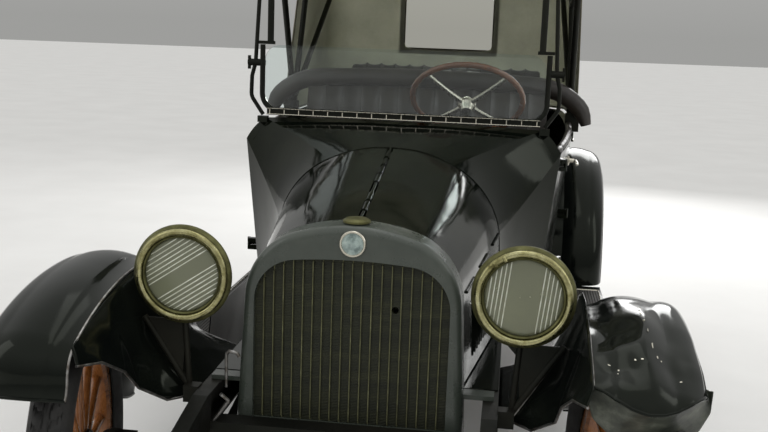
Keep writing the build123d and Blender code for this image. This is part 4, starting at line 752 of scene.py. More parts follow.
def wheel_metal_shape():
    """Rim, clamps, hub flanges, hub and cap at the origin, the outside towards +x."""
    made = Shape()
    rim = [(-0.033, 0.3098), (-0.0335, 0.3165), (-0.0345, 0.3225), (-0.0315, 0.3235), (-0.0295, 0.3178)]
    made.ring(rim + [(-a, r) for a, r in reversed(rim)], *wheel_axis, 96)
    made.ring([(0.0175, 0.076), (0.0225, 0.078), (0.0265, 0.0755), (0.0275, 0.060), (0.034, 0.050),
               (0.040, 0.047), (0.046, 0.0455), (0.050, 0.041), (0.052, 0.030)], *wheel_axis, 48)
    made.ring([(-0.0175, 0.076), (-0.0225, 0.078), (-0.0265, 0.0755), (-0.030, 0.055), (-0.048, 0.045),
               (-0.048, 0.021)], *wheel_axis, 48)
    for spoke in range(spoke_count // 2):
        angle = 2 * pi * (spoke + 0.5) / (spoke_count / 2)
        bolt(made, (0.0268, bolt_circle * sin(angle), bolt_circle * cos(angle)), (1, 0, 0), 0.0065, 0.007)
    for clamp in range(clamp_count):
        turn = Matrix.Rotation(2 * pi * (clamp + 0.25) / clamp_count, 4, "X")
        made.block((0.0285, -0.013, 0.284), (0.0345, 0.013, 0.3125), 0.0015, turn)
        bolt(made, turn @ Vector((0.0345, 0, 0.295)), (1, 0, 0), 0.008, 0.008)
    made.tube([(0.024, 0.012, 0.268), (0.026, 0.012, 0.250)], 0.0035, 10)
    return made


def hub_cap_shape():
    """Plain round hub cap with a hexagon behind its dome."""
    made = Shape()
    made.ring([(0.0455, 0.0335), (0.0525, 0.0335), (0.0540, 0.0320)], *wheel_axis, 6)
    made.ring([(0.050, 0.0285), (0.0640, 0.0280), (0.0715, 0.0250), (0.0750, 0.0190), (0.0765, 0.0090),
               (0.0768, 0.0001)], *wheel_axis, 40)
    return made


def drum_shape():
    """Ribbed brake drum on the inner side of a rear wheel."""
    made = Shape()
    made.ring([(-0.0340, 0.060), (-0.0340, 0.150), (-0.0375, 0.152), (-0.0790, 0.152), (-0.0790, 0.146),
               (-0.0450, 0.144), (-0.0450, 0.060)], *wheel_axis, 72)
    return made


wood_shape = wheel_wood_shape()
metal_shape = wheel_metal_shape()
cap_shape = hub_cap_shape()
for side, side_name in sides:
    for front in (True, False):
        name = f"{'front' if front else 'rear'}_{side_name}"
        centre, outward = wheel_place(side, front)
        place = place_of(centre, outward)
        body = f"wheel_{name}"
        tyre.moved(place).piece(
            f"tyre_casing_{name}", body, tyre_rubber, "tyre_rubber", [f"tyre_{name}"], 28)
        wood_shape.moved(place).piece(
            f"spokes_{name}", body, wheel_wood, "wheel_wood", [f"wheel_{name}"], 40)
        metal_shape.moved(place).piece(f"rim_{name}", body, chassis_black, "chassis_black")
        cap_shape.moved(place).piece(f"hub_cap_{name}", body, bright_nickel, "lamp_nickel")
        if not front:
            drum_shape().moved(place).piece(f"drum_{name}", body, chassis_black, "chassis_black")

spare_behind_axle = 0.526
spare_z = 0.760
spare_place = place_of(Vector((0, rear_axle_y + spare_behind_axle, spare_z)), Vector((0, 1, 0)))
tyre.moved(spare_place).piece("spare_casing", "car", tyre_rubber, "tyre_rubber", ["spare_tyre"], 28)

# Folding top: one cloth over the bows, hanging as side valances, quarter curtains and back curtain
top_half = 0.652
top_front_y, top_rear_y = back(0.915), back(3.178)
canvas_line = ((top_front_y, 1.905), (back(1.640), 2.034), (back(2.350), 2.040), (top_rear_y, 1.965))
canvas_bend = (top_half**2 + 0.036**2) / (2 * 0.036)
corner_radius = 0.150
roof_sag = 0.010
roof_ripple = 0.0022
cloth_thickness = 0.0022
binding_radius = 0.0045
curtain_start = 2.340
curtain_foot = belt + 0.002
curtain_billow = 0.0035
curtain_edge = (  # height, and distance of the curtain's front edge behind the radiator
    (2.10, curtain_start), (1.795, curtain_start), (1.681, 2.281),
    (1.296, 2.102), (1.285, 2.188), (1.10, 2.188),
)
valance_foot = ((back(0.915), 1.800), (back(1.640), 1.927), (back(2.350), 1.860))
rear_window_half = 0.245
rear_window_foot, rear_window_top = 1.460, 1.760


def between(table, key):
    """Value of a table of (key, value) at a key, on straight lines between its rows."""
    rows = sorted(table)
    if key <= rows[0][0]:
        return rows[0][1]
    for (k0, v0), (k1, v1) in zip(rows, rows[1:]):
        if key <= k1:
            return v0 + (v1 - v0) * (key - k0) / (k1 - k0)
    return rows[-1][1]


def canvas_point(x, y):
    """Point of the roof: it sags between its bows and lies a little proud over them."""
    height = between(canvas_line, y)
    for (y0, _), (y1, _) in zip(canvas_line, canvas_line[1:]):
        if y0 <= y <= y1:
            height -= roof_sag * sin(pi * (y - y0) / (y1 - y0)) * (1 - (abs(x) / 0.75) ** 4)
    ripple = noise.noise(Vector((x * 3.1, y * 2.2, 4.7))) * roof_ripple
    return Vector((x, y, height + ripple - canvas_bend + (canvas_bend**2 - x * x) ** 0.5))


row_shares = (0, 0.01, 0.06, 0.12, 0.18, 0.24, 0.30, 0.345, 0.375, 0.42, 0.48, 0.54, 0.60, 0.65, 0.6745,
              0.70, 0.75, 0.80, 0.85, 0.90, 0.95, 1.0)
roof_ys = [top_front_y + share * (top_rear_y - corner_radius - top_front_y) for share in row_shares]
corner_turns = [pi / 2 * step / 6 for step in range(1, 7)]
half_shares = (0.16, 0.32, 0.488, 0.66, 0.8, 0.9, 0.975, 1)
roof_shares = (*(-share for share in reversed(half_shares)), 0, *half_shares)
roof_rows = [(y, top_half) for y in roof_ys]
roof_rows += [(top_rear_y - corner_radius + corner_radius * sin(a), top_half - corner_radius * (1 - cos(a)))
              for a in corner_turns]
roof = [[canvas_point(half * share, y) for share in roof_shares] for y, half in roof_rows]
canvas = Shape()
canvas.grid(roof, spots=laid(roof, 0, 1))
curtain_levels = (1.90, 1.83, 1.795, 1.76, 1.70, 1.60, 1.53, 1.46, 1.38, 1.296, 1.285, 1.23, curtain_foot)
start_y = back(curtain_start)
straight_end = top_rear_y - corner_radius
quarter_start = next(i for i, y in enumerate(roof_ys) if y > start_y)
left_edge = [row[-1] for row in roof]
rear_edge = list(reversed(roof[-1]))[1:-1]
right_edge = [row[0] for row in reversed(roof)]
ring_top = [Vector((top_half, start_y, canvas_point(top_half, start_y).z))] + left_edge[quarter_start:]
ring_top += rear_edge + right_edge[:len(right_edge) - quarter_start]
ring_top += [Vector((-top_half, start_y, ring_top[0].z))]
curtain_rows = [ring_top]
for height in curtain_levels:
    front_y = back(between(curtain_edge, height))
    row = []
    for p in ring_top:
        y = p.y
        if abs(abs(p.x) - top_half) < 1e-4 and y <= straight_end + 1e-6:
            share = (y - start_y) / (straight_end - start_y)
            y = front_y + share * (straight_end - front_y)
        spot = Vector((p.x * 3, y * 3, height * 1.5))
        slack = noise.noise(spot) * curtain_billow * smooth_step(1.95, 1.6, height)
        out = Vector((p.x, (p.y - 1.0) * 0.35, 0)).normalized()
        row.append(Vector((p.x, y, height)) + out * slack)
    curtain_rows.append(row)
lengths = [0.0]
for first, second in zip(ring_top, ring_top[1:]):
    lengths.append(lengths[-1] + (second - first).length)
window_skip = set()
for i, (high, low) in enumerate(zip((2.0, *curtain_levels), curtain_levels)):
    beside = low >= rear_window_foot - 1e-6 and high <= rear_window_top + 1e-6
    for j, (first, second) in enumerate(zip(ring_top, ring_top[1:])):
        behind = abs(first.y - top_rear_y) < 1e-4
        if beside and behind and max(abs(first.x), abs(second.x)) <= rear_window_half + 0.002:
            window_skip.add((i, j))
canvas.grid(curtain_rows, skip=window_skip,
            spots=[[(length, p.z) for length, p in zip(lengths, row)] for row in curtain_rows])
for side in (1, -1):
    valance = []
    for i, y in enumerate(roof_ys[:quarter_start + 1]):
        y = min(y, back(2.352))
        top = canvas_point(side * top_half, y)
        foot = between(valance_foot, y)
        valance.append([Vector((side * (top_half + 0.002 * (k > 0)), y, top.z + (foot - top.z) * k / 4))
                        for k in range(5)])
    canvas.grid(valance, spots=laid(valance, 1, 2))
front_hem = [[p + Vector((0, -0.004, 0)) * (k > 0) + Vector((0, 0, -0.012 * k)) for k in range(4)]
             for p in roof[0]]
canvas.grid(front_hem, spots=laid(front_hem, 0, 2))


def weld(made):
    """Joins the points of an object's mesh that lie on each other."""
    work = bmesh.new()
    work.from_mesh(made.data)
    bmesh.ops.remove_doubles(work, verts=work.verts, dist=1e-5)
    bmesh.ops.recalc_face_normals(work, faces=work.faces)
    work.to_mesh(made.data)
    work.free()


top_cloth = canvas.piece("top_cloth", "car", canvas_cloth, "canvas", ["top_canvas"], 180, cloth_thickness, 1)
weld(top_cloth)

bindings = Shape()
foot_lift = 0.0065
foot_edge = [p + Vector((0, 0, foot_lift)) for p in curtain_rows[-1]]
front_edges = [[row[end] for row in curtain_rows[1:-1]] + [foot_edge[end]] for end in (0, -1)]
for edge in (*front_edges, foot_edge):
    bindings.tube(edge, binding_radius, 8)
for side in (1, -1):
    hem = [Vector((side * (top_half + 0.002), y, between(valance_foot, y))) for y in roof_ys[:quarter_start]]
    bindings.tube(hem, binding_radius, 8)
window_rim = [(rear_window_half, rear_window_foot), (rear_window_half, rear_window_top),
              (-rear_window_half, rear_window_top), (-rear_window_half, rear_window_foot)]
window_z = (rear_window_foot + rear_window_top) / 2
inner_rim, outer_rim = (
    [Vector((x * wide, top_rear_y + proud, window_z + (z - window_z) * high)) for x, z in window_rim]
    for wide, high, proud in ((0.97, 0.95, 0.001), (1.10, 1.17, 0.002)))
for first, second in zip(range(4), (1, 2, 3, 0)):
    bindings.grid([[inner_rim[first], outer_rim[first]], [inner_rim[second], outer_rim[second]]])
top_bindings = bindings.piece("top_bindings", "car", binding_cloth, "canvas", (), 60)


# Seats: leather pleats sewn across a rolled cushion and a padded back
pleat_count = 13
pleat_steps = 8
pleat_wrinkle = 0.003
end_shrink = 0.10


def pleated_pad(name, profile, face, half, depth, stands_for):
    """Closed pad: a (y, z) profile carried across the car, pleated where face is 1, drawn in at its ends."""
    count = len(profile)
    centre_y = sum(p[0] for p in profile) / count
    centre_z = sum(p[1] for p in profile) / count
    made = Shape()
    rows, spots = [], []
    steps = pleat_count * pleat_steps
    for step in range(steps + 1):
        x = -half + 2 * half * step / steps
        end = 1 - abs(x) / half
        shrink = 1 - end_shrink + end_shrink * (1 - (1 - min(1, end / 0.05)) ** 2) ** 0.5
        seam = abs(sin(pi * pleat_count * (x + half) / (2 * half)))
        swell = depth * (seam**0.5 - 0.55)
        row, row_spots = [], []
        for k, (y, z) in enumerate(profile):
            before, after = profile[k - 1], profile[(k + 1) % count]
            way = Vector((0, after[1] - before[1], -(after[0] - before[0]))).normalized()
            wrinkle = noise.noise(Vector((x * 9, y * 9, z * 9))) * pleat_wrinkle
            shift = (swell + wrinkle) * face[k]
            row.append(Vector((x, centre_y + (y - centre_y) * shrink, centre_z + (z - centre_z) * shrink))
                       + way * shift)
            row_spots.append((x, k / count))
        rows.append(row)
        spots.append(row_spots)
    made.grid(rows, close_columns=True, spots=spots)
    made.faces.append(tuple(reversed(range(count))))
    made.faces.append(tuple(steps * count + k for k in range(count)))
    pad = made.piece(name, "car", seat_leather, "seat_leather", stands_for, 50)
    weld(pad)


def cushion_profile(front_y, rear_y, foot, top):
    """Side outline of a seat cushion with a rolled front edge, from its front foot over the top."""
    roll = 0.052
    points, face = [], []
    for step in range(9):
        angle = radians(200 - 110 * step / 8)
        points.append((front_y + roll + roll * cos(angle), top - roll + roll * sin(angle)))
        face.append(1.0)
    run = rear_y - 0.03 - front_y - roll
    for share in (0.2, 0.4, 0.6, 0.8, 1.0):
        points.append((front_y + roll + run * share, top - 0.022 * share + 0.012 * sin(pi * share)))
        face.append(1.0)
    points += [(rear_y - 0.006, top - 0.05), (rear_y - 0.004, foot + 0.012), (rear_y - 0.012, foot + 0.004)]
    points += [
        (front_y + 0.02, foot + 0.004), (front_y + 0.008, foot + 0.014), (front_y + 0.006, foot + 0.06)]
    face += [0.2, 0.0, 0.0, 0.0, 0.0, 0.35]
    return points, face


def back_profile(y, foot, top):
    """Side outline of a leaning seat back with a rolled top, from the front foot up and over."""
    rake, roll = 0.040, 0.0425
    points, face = [], []
    for share in (0.02, 0.2, 0.4, 0.6, 0.78, 0.9):
        z = foot + (top - foot) * share
        points.append((y + rake * share + 0.010 - 0.014 * sin(pi * share), z))
        face.append(1.0)
    for step in range(7):
        angle = radians(180 - 180 * step / 6)
        points.append((y + rake + 0.006 + roll + roll * cos(angle), top - roll + roll * sin(angle)))
        face.append(1.0 if step < 5 else 0.4)
    for share in (0.7, 0.4, 0.1):
        points.append((y + rake * share + 0.100, foot + (top - foot) * share))
        face.append(0.0)
    points += [(y + 0.095, foot), (y + 0.012, foot)]
    face += [0.0, 0.0]
    return points, face


seat_base = 0.830
cushion_top = 0.985
back_foot = 0.870
for seat_name, cushion_y, back_y, back_top, cushion_half, back_half in (
    ("front", back(1.420), back(1.890), 1.330, 0.520, 0.520),
    ("rear", back(2.560), back(2.975), 1.375, 0.530, 0.505),
):
    seat = [f"{seat_name}_seat"]
    cushion = cushion_profile(cushion_y, back_y, seat_base, cushion_top)
    pleated_pad(f"{seat_name}_cushion", *cushion, cushion_half, 0.011, seat)
    pleated_pad(f"{seat_name}_back", *back_profile(back_y, back_foot, back_top), back_half, 0.013, seat)

roll_end = [(0.560, 1.332), (0.623, 1.295), (0.672, 1.249), (0.690, 1.190)]
roll_line = [(-x, z) for x, z in reversed(roll_end)]
roll_line += [(x / 100, 1.361 - 0.019 * (x / 53) ** 2) for x in range(-50, 51, 4)]
roll_line += roll_end
roll_sides = 20
roll = Shape()
roll_rows = []
for k, (x, z) in enumerate(roll_line):
    before, after = roll_line[max(0, k - 1)], roll_line[min(len(roll_line) - 1, k + 1)]
    way = Vector((after[0] - before[0], 0, after[1] - before[1])).normalized()
    over = Vector((0, 1, 0)).cross(way).normalized() * -1
    tip = 0.55 if k in (0, len(roll_line) - 1) else 1.0
    row = []
    for angle in turns(roll_sides):
        r = tip * (0.040 + 0.0022 * noise.noise(Vector((x * 26, cos(angle) * 1.5, sin(angle) * 1.5))))
        row.append(Vector((x, back(1.962) + 0.012 * abs(x), z)) + Vector((0, 1, 0)) * r * cos(angle)
                   + over * r * sin(angle))
    roll_rows.append(row)
roll.grid(roll_rows, close_columns=True,
          spots=[[(x, s / roll_sides) for s in range(roll_sides)] for x, _ in roll_line])
roll.faces.append(tuple(range(roll_sides)))
roll.faces.append(tuple(len(roll.points) - roll_sides + s for s in reversed(range(roll_sides))))
front_roll = roll.piece("front_roll", "car", seat_leather, "seat_leather", ["front_seat"], 50, 0, 1)

# Front fenders: swept crowns with a flat inner flange, the aprons below them, and the left one's old damage
sheet_thickness = 0.0022
bead_radius = 0.0048
crown_arc = (0.900, radians(26))
nose_arc = (0.112, radians(62))
fall_arc = (0.430, radians(-62))
fall_run = 0.262
foot_arc = (-0.124, radians(62))
flange_crease = 0.630
fender_section = [(fender_inner, -0.020), (fender_inner + 0.008, -0.0195), (fender_inner + 0.024, -0.0175),
                  (flange_crease - 0.006, -0.0125), (flange_crease, -0.0095)]
fender_section += arc_points(
    (flange_crease + 0.005, -0.0055), (0.695, 0.006), (fender_outer - 0.078, -0.006), 14)
fender_section += arc_points((fender_outer - 0.078, -0.006), (fender_outer - 0.020, -0.038),
                             (fender_outer, -0.098), 14)[1:]


def turned_on(spot, radius, turn):
    """Spot reached from one by going round a radius, as (y, z, angle)."""
    y, z, angle = spot
    turned = angle + turn
    return y + radius * (sin(angle) - sin(turned)), z + radius * (cos(turned) - cos(angle)), turned


def fender_path():
    """Spots along the front fender from its nose to the running board, and their distance from the crown."""
    crown = (front_axle_y + 0.090, 0.948, 0.0)
    spots = [(crown, 0.0)]
    ahead, run = crown, 0.0
    for radius, turn, steps in ((*crown_arc, 22), (*nose_arc, 14)):
        start = ahead
        for step in range(1, steps + 1):
            here = turned_on(start, radius, turn * step / steps)
            spots.insert(0, (here, run + radius * turn * step / steps))
        ahead, run = spots[0]
    for step in range(1, 5):
        share = step / 4
        spots.insert(0, ((ahead[0] - 0.003 * share - 0.009 * share**2, ahead[1] - 0.038 * share,
                          ahead[2] - 0.30 * share), run + 0.039 * share))
    for step in range(1, 21):
        here = turned_on(crown, fall_arc[0], fall_arc[1] * step / 20)
        spots.append((here, fall_arc[0] * fall_arc[1] * step / 20))
    behind, run = spots[-1]
    for step in range(1, 9):
        length = fall_run * step / 8
        spots.append(((behind[0] + length * cos(behind[2]), behind[1] + length * sin(behind[2]), behind[2]),
                      run - length))
    behind, run = spots[-1]
    for step in range(1, 9):
        spots.append((turned_on(behind, foot_arc[0], foot_arc[1] * step / 8), run - 0.134 * step / 8))
    return spots


fender_spots = fender_path()

# Old damage of the left fender, in millimetres pushed in at distances along it and places across it
dent_runs = (-0.36, -0.22, -0.10, 0.00, 0.06, 0.15, 0.22, 0.29, 0.36, 0.43, 0.50, 0.58)
dent_places = (0.585, 0.628, 0.668, 0.708, 0.756, 0.800, 0.838)
dents = (
    (0, 0, 0, 0, 0, 0, 0),
    (28, 28, 24, 22, 20, 8, 0),
    (38, 38, 34, 34, 32, 12, 0),
    (40, 38, 34, 32, 30, 14, 2),
    (36, 34, 30, 24, 28, 16, 4),
    (26, 22, 18, 10, 30, 18, 6),
    (12, 26, 20, 4, 32, 24, 10),
    (14, 6, 6, 0, 26, 30, 14),
    (4, 12, 16, 4, 30, 26, 18),
    (2, 2, 8, 10, 22, 22, 20),
    (0, 6, 12, 10, 14, 18, 18),
    (0, 4, 4, 2, 6, 12, 14),
)


def damage(run, x):
    """How far the left fender's sheet is pushed in at a distance along it and a place across it."""
    run += 0.016 * noise.noise(Vector((x * 9, run * 4, 1.7)))
    x += 0.012 * noise.noise(Vector((run * 8, x * 3, 5.1)))
    run = min(max(run, dent_runs[0]), dent_runs[-1])
    x = min(max(x, dent_places[0]), dent_places[-1])
    i = max(k for k in range(len(dent_runs) - 1) if run >= dent_runs[k])
    j = max(k for k in range(len(dent_places) - 1) if x >= dent_places[k])
    down = (run - dent_runs[i]) / (dent_runs[i + 1] - dent_runs[i])
    across = (x - dent_places[j]) / (dent_places[j + 1] - dent_places[j])
    near = dents[i][j] + (dents[i][j + 1] - dents[i][j]) * across
    far = dents[i + 1][j] + (dents[i + 1][j + 1] - dents[i + 1][j]) * across
    return (near + (far - near) * down) / 1000


# Where the left fender's crumpled nose ends, as (place across, distance along)
dent_nose = ((0.585, 0.424), (0.600, 0.432), (0.615, 0.444), (0.632, 0.462), (0.665, 0.482), (0.698, 0.492),
             (0.730, 0.490), (0.757, 0.480), (0.785, 0.458), (0.804, 0.436), (0.822, 0.408), (0.838, 0.380))
nose_start = 0.28

# The apron's distance behind the radiator, its top, and the (x, z) of its fold and of its foot
apron_stations = (
    (-0.352, 0.832, 0.581, 0.812, 0.575, 0.788),
    (-0.270, 0.862, 0.571, 0.814, 0.548, 0.772),
    (-0.170, 0.889, 0.564, 0.798, 0.532, 0.716),
    (-0.100, 0.903, 0.558, 0.778, 0.524, 0.650),
    (-0.040, 0.914, 0.540, 0.750, 0.470, 0.600),
    (0.030, 0.924, 0.520, 0.742, 0.3853, 0.604),
    (0.150, 0.915, 0.512, 0.732, 0.3853, 0.610),
    (0.230, 0.8867, 0.511, 0.717, 0.3853, 0.611),
    (0.300, 0.862, 0.530, 0.704, 0.3853, 0.612),
    (0.360, 0.802, 0.538, 0.678, 0.3853, 0.606),
    (0.420, 0.742, 0.530, 0.648, 0.3853, 0.600),
    (0.520, 0.562, 0.500, 0.548, 0.3853, 0.556),
)


def fender_point(spot, x, n):
    """Point of the fender at a spot, a place across and a height off its path."""
    y, z, angle = spot
    return Vector((x, y - n * sin(angle), z + n * cos(angle)))


def crumpled(x, n, run):
    """Point of the left fender: its nose shortened, its sheet dented and its outer side bent in."""
    last = between(dent_nose, x)
    if run > nose_start:
        run = nose_start + (run - nose_start) * (last - nose_start) / (fender_spots[0][1] - nose_start)
    after = next(k for k, (_, here) in enumerate(fender_spots) if here <= run)
    (start, start_run), (end, end_run) = fender_spots[max(0, after - 1)], fender_spots[after]
    share = (start_run - run) / max(1e-6, start_run - end_run)
    spot = tuple(a + (b - a) * share for a, b in zip(start, end))
    bent = smooth_step(0.02, 0.34, run)
    if n < -0.006 and x > fender_apex:
        n = -0.006 + (n + 0.006) * (1 - 0.42 * bent)
        x -= 0.004 * bent * smooth_step(0.79, 0.838, x)
    return fender_point(spot, x, n - damage(run, x))


def front_fender(dented):
    """Left front fender with its apron, outer bead and inner lip as shapes, and the rows of its sheet."""
    sheet, bead, lip = Shape(), Shape(), Shape()
    rows = []
    for spot, run in fender_spots:
        if dented and run > dent_runs[0]:
            rows.append([crumpled(x, n, run) for x, n in fender_section])
            continue
        rows.append([fender_point(spot, x, n + 0.0012 * noise.noise(Vector((run * 6, x * 6, 1.2))))
                     for x, n in fender_section])
    sheet.grid(rows, spots=laid(rows, 0, 1))
    bead.tube([row[-1] for row in rows], bead_radius, 8)
    bead.tube([p + Vector((0, -0.0005, 0)) for p in rows[0]], 0.0040, 8)
    lip.tube([row[0] + Vector((0.0005, 0, 0.0)) for row in rows], 0.0030, 8)
    apron = []
    for y, top_z, mid_x, mid_z, low_x, low_z in apron_stations:
        upper = Vector((fender_inner + 0.001, back(y), top_z))
        middle = Vector((mid_x, back(y), mid_z))
        lower = Vector((low_x, back(y), low_z))
        row = [upper.lerp(middle, k / 4) for k in range(4)]
        apron.append(row + [middle.lerp(lower, k / 5) for k in range(6)])
    fine = finer(apron)
    for i, row in enumerate(fine):
        for j, p in enumerate(row):
            p.x -= 0.004 * max(0.0, sin(i * 0.9)) * sin(pi * j / (len(row) - 1))
    sheet.grid(fine, spots=laid(fine, 0, 1))
    lip.tube([row[-1] for row in fine[:20]], 0.0035, 8)
    return sheet, bead, lip, rows


for side, side_name in reversed(sides):  # the left comes last, and its rows are used below
    sheet, bead, lip, sheet_rows = front_fender(dented=side == 1)
    sheet.on(side).piece(f"front_fender_{side_name}", "car", fender_enamel, "fender_enamel",
                         ["front_fenders", "front_aprons"], 30 if side == 1 else 40, sheet_thickness, 1)
    bead.on(side).piece(f"front_fender_bead_{side_name}", "car", fender_enamel, "fender_enamel")
    # The inner lip and the apron's foot edge are drawn in lighter steel as painted highlight lines along
    # these edges.
    lip.on(side).piece(f"front_fender_lip_{side_name}", "car", worn_steel, "fender_enamel")

# The torn skirt of the left fender, folded back under its nose, and bare chips along its crease
nose_row = sheet_rows[0]
flange_top = sheet_rows[13][-1]
fold_top = [nose_row[round(k * (len(nose_row) - 1) / 7)] + Vector((0, 0.0012, 0)) for k in range(8)]
fold_top += [sheet_rows[5][-1], flange_top]
fold_foot = [  # (x, z, distance behind the radiator)
    (0.578, 0.790, -0.300), (0.592, 0.745, -0.300), (0.630, 0.712, -0.300), (0.690, 0.700, -0.290),
    (0.762, 0.695, -0.268), (0.826, 0.713, -0.250), (0.8495, 0.766, -0.260), (0.8480, 0.800, -0.270),
    (0.8475, 0.822, -0.275), (flange_top.x + 0.002, flange_top.z - 0.006, flange_top.y - radiator_y),
]
fold = Shape()
fold_rows = []
for k in range(7):
    share = k / 6
    bulge = Vector((0, 0.010 * sin(pi * share), 0))
    fold_rows.append([top.lerp(Vector((x, back(y), z)), share) + bulge
                      for top, (x, z, y) in zip(fold_top, fold_foot)])
fine_fold = list(zip(*finer(list(zip(*fold_rows)))))
for row in fine_fold[1:]:
    for p in row:
        p.y += 0.007 * noise.noise(p * 14)
fold.grid(fine_fold, spots=laid(fine_fold, 0, 2))
fold.piece("front_fender_fold_left", "car", worn_sheet, "fender_enamel", (), 40, 0.0020, 1)

chip_marks = (  # place across, distance along, half width and half length
    (0.707, 0.100, 0.0040, 0.012), (0.706, 0.135, 0.0025, 0.018), (0.708, 0.185, 0.0040, 0.008),
    (0.712, 0.235, 0.0018, 0.010), (0.718, 0.290, 0.0024, 0.016), (0.727, 0.335, 0.0030, 0.009),
    (0.735, 0.345, 0.0020, 0.005), (0.676, 0.372, 0.0030, 0.005), (0.690, 0.370, 0.0045, 0.004),
    (0.775, 0.425, 0.0040, 0.005), (0.640, 0.420, 0.0030, 0.006), (0.622, 0.395, 0.0050, 0.004),
    (0.638, 0.440, 0.0022, 0.004),
)
chips = Shape()
for x, run, wide, long in chip_marks:
    lift = between(fender_section, x)
    flake = [crumpled(x, 0.0016 + lift, run)]
    for k, angle in enumerate(turns(7)):
        reach = 0.75 + 0.45 * noise.noise(Vector((x * 90, run * 70, k * 1.7)))
        edge_x, edge_run = x + wide * reach * cos(angle), run + long * reach * sin(angle)
        flake.append(crumpled(edge_x, 0.0010 + lift, edge_run))
    chips.add(flake, [(0, k + 1, (k + 1) % 7 + 1) for k in range(7)])
chips.piece("front_fender_chips_left", "car", bright_nickel, "fender_enamel", (), 60)

# Rear fenders keep their frame shape and get rolled edges
rear_bead_reach = 0.572 - 0.084
rear_beads = Shape()
for side in (1, -1):
    path = []
    for step in range(65):
        angle = radians(-100 + 192 * step / 64)
        y, z = rear_axle_y - rear_bead_reach * sin(angle), wheel_z + rear_bead_reach * cos(angle)
        path.append((side * (fender_outer - 0.002), y, z))
    rear_beads.tube(path, bead_radius, 8)
rear_beads.piece("rear_fender_beads", "car", fender_enamel, "fender_enamel")

# Headlamps: stepped rims, dished reflectors with a bulb, and lenses fluted beside a clear band, their flutes
# drawn bright and opaque as painted highlight lines
lamp_flange_profile = [
    (0.0155, 0.1183), (0.0155, 0.1275), (0.0135, 0.1290), (0.0105, 0.1288), (0.0060, 0.1262),
    (0.0020, 0.1225), (0.0004, 0.1208), (0.0030, 0.1190)]
lamp_bead_profile = [
    (0.0030, 0.1195), (-0.0012, 0.1206), (-0.0055, 0.1190), (-0.0086, 0.1158), (-0.0102, 0.1118),
    (-0.0096, 0.1078), (-0.0070, 0.1046), (-0.0034, 0.1032), (0.0030, 0.1040)]
lamp_lip_profile = [
    (0.0030, 0.1046), (-0.0005, 0.1026), (-0.0018, 0.1010), (-0.0010, 0.0985), (0.0014, 0.0966),
    (0.0052, 0.0962), (0.0060, 0.1040)]
reflector_profile = [
    (0.010, 0.1120), (0.012, 0.1060), (0.022, 0.0985), (0.036, 0.0860), (0.050, 0.0690), (0.060, 0.0500),
    (0.067, 0.0280), (0.069, 0.0120), (0.060, 0.0095), (0.056, 0.0001)]
bulb_profile = [
    (0.056, 0.0080), (0.048, 0.0090), (0.040, 0.0130), (0.032, 0.0150), (0.024, 0.0130), (0.019, 0.0070),
    (0.0175, 0.0001)]
lens_reach = 0.0990
lens_dome = 0.0050
lens_thickness = 0.0025
flute_reach = 0.0945
flute_pitch = 0.0106
flute_half = 0.0014
flute_height = 0.0013


def across_lens(centre, a, b, turn, out):
    """Point on the domed lens, from its place across and along the flutes, and a height off the glass."""
    away = (a * a + b * b) / lens_reach**2
    across, rise = a * cos(turn) + b * sin(turn), -a * sin(turn) + b * cos(turn)
    return centre + Vector((across, -lens_dome * (1 - away) - out, rise))


for side, side_name, flute_turn, clear_half in (
    (1, "left", radians(6), 0.035),
    (-1, "right", radians(56), 0.020),
):
    centre = Vector((side * lamp_x, lamp_y + 0.015, lamp_z))
    # The flat outer band and the inner lip get the darker brass, painted shade beside the bright bead of the
    # rim.
    flange = Shape()
    flange.ring(lamp_flange_profile, centre, (0, 1, 0), 96, closed=True)
    flange.ring(lamp_lip_profile, centre, (0, 1, 0), 96, closed=True)
    flange.piece(f"lamp_flange_{side_name}", "car", flange_brass, "lamp_nickel", ["headlamp_rims"], 50)
    rim = Shape()
    rim.ring(lamp_bead_profile, centre, (0, 1, 0), 96, closed=True)
    if side == 1:
        for tilt in (radians(28), radians(42)):
            clip = Matrix.Translation(centre) @ Matrix.Rotation(-tilt, 4, "Y")
            rim.block((-0.004, -0.0118, 0.1015), (0.004, -0.002, 0.1175), 0.0015, clip)
    rim.piece(f"lamp_rim_{side_name}", "car", lamp_nickel, "lamp_nickel", ["headlamp_rims"], 45)
    glass_centre = centre + Vector((0, 0.0068, 0))
    lens = Shape()
    rows = []
    for ring_step in range(9):
        reach = lens_reach * max(0.02, ring_step / 8)
        rows.append([across_lens(glass_centre, reach * cos(a), -reach * sin(a), 0, 0) for a in turns(64)])
    lens.grid(rows, close_columns=True)
    lens.faces.append(tuple(reversed(range(64))))
    lens.piece(
        f"lamp_lens_{side_name}", "car", lens_glass, "lens_glass", ["headlamp_lenses"], 60, lens_thickness)
    # The flutes are drawn in the bright opaque glass above as painted highlight lines.
    flutes = Shape()
    for number in range(-9, 10):
        a = number * flute_pitch
        half = (max(0.0, flute_reach**2 - a * a)) ** 0.5
        if abs(a) < clear_half or half < 0.012:
            continue
        rows = []
        for k in range(15):
            b = half * (2 * k / 14 - 1)
            tip = 0.5 if k in (0, 14) else 1.0
            rows.append([across_lens(glass_centre, a + flute_half * tip * way, b, flute_turn, out)
                         for way, out in ((-1, 0.0002), (0, flute_height * tip), (1, 0.0002))])
        flutes.grid(rows)
    flutes.piece(f"lamp_flutes_{side_name}", "car", flute_highlight_glass, "lens_glass", (), 20)
    dish = Shape()
    dish.ring(reflector_profile, centre, (0, 1, 0), 64)
    dish.piece(f"lamp_reflector_{side_name}", "car", reflector_silver, "lamp_nickel", (), 50)
    bulb = Shape()
    bulb.ring(bulb_profile, centre, (0, 1, 0), 24)
    bulb.piece(f"lamp_bulb_{side_name}", "car", lens_glass, "lens_glass")

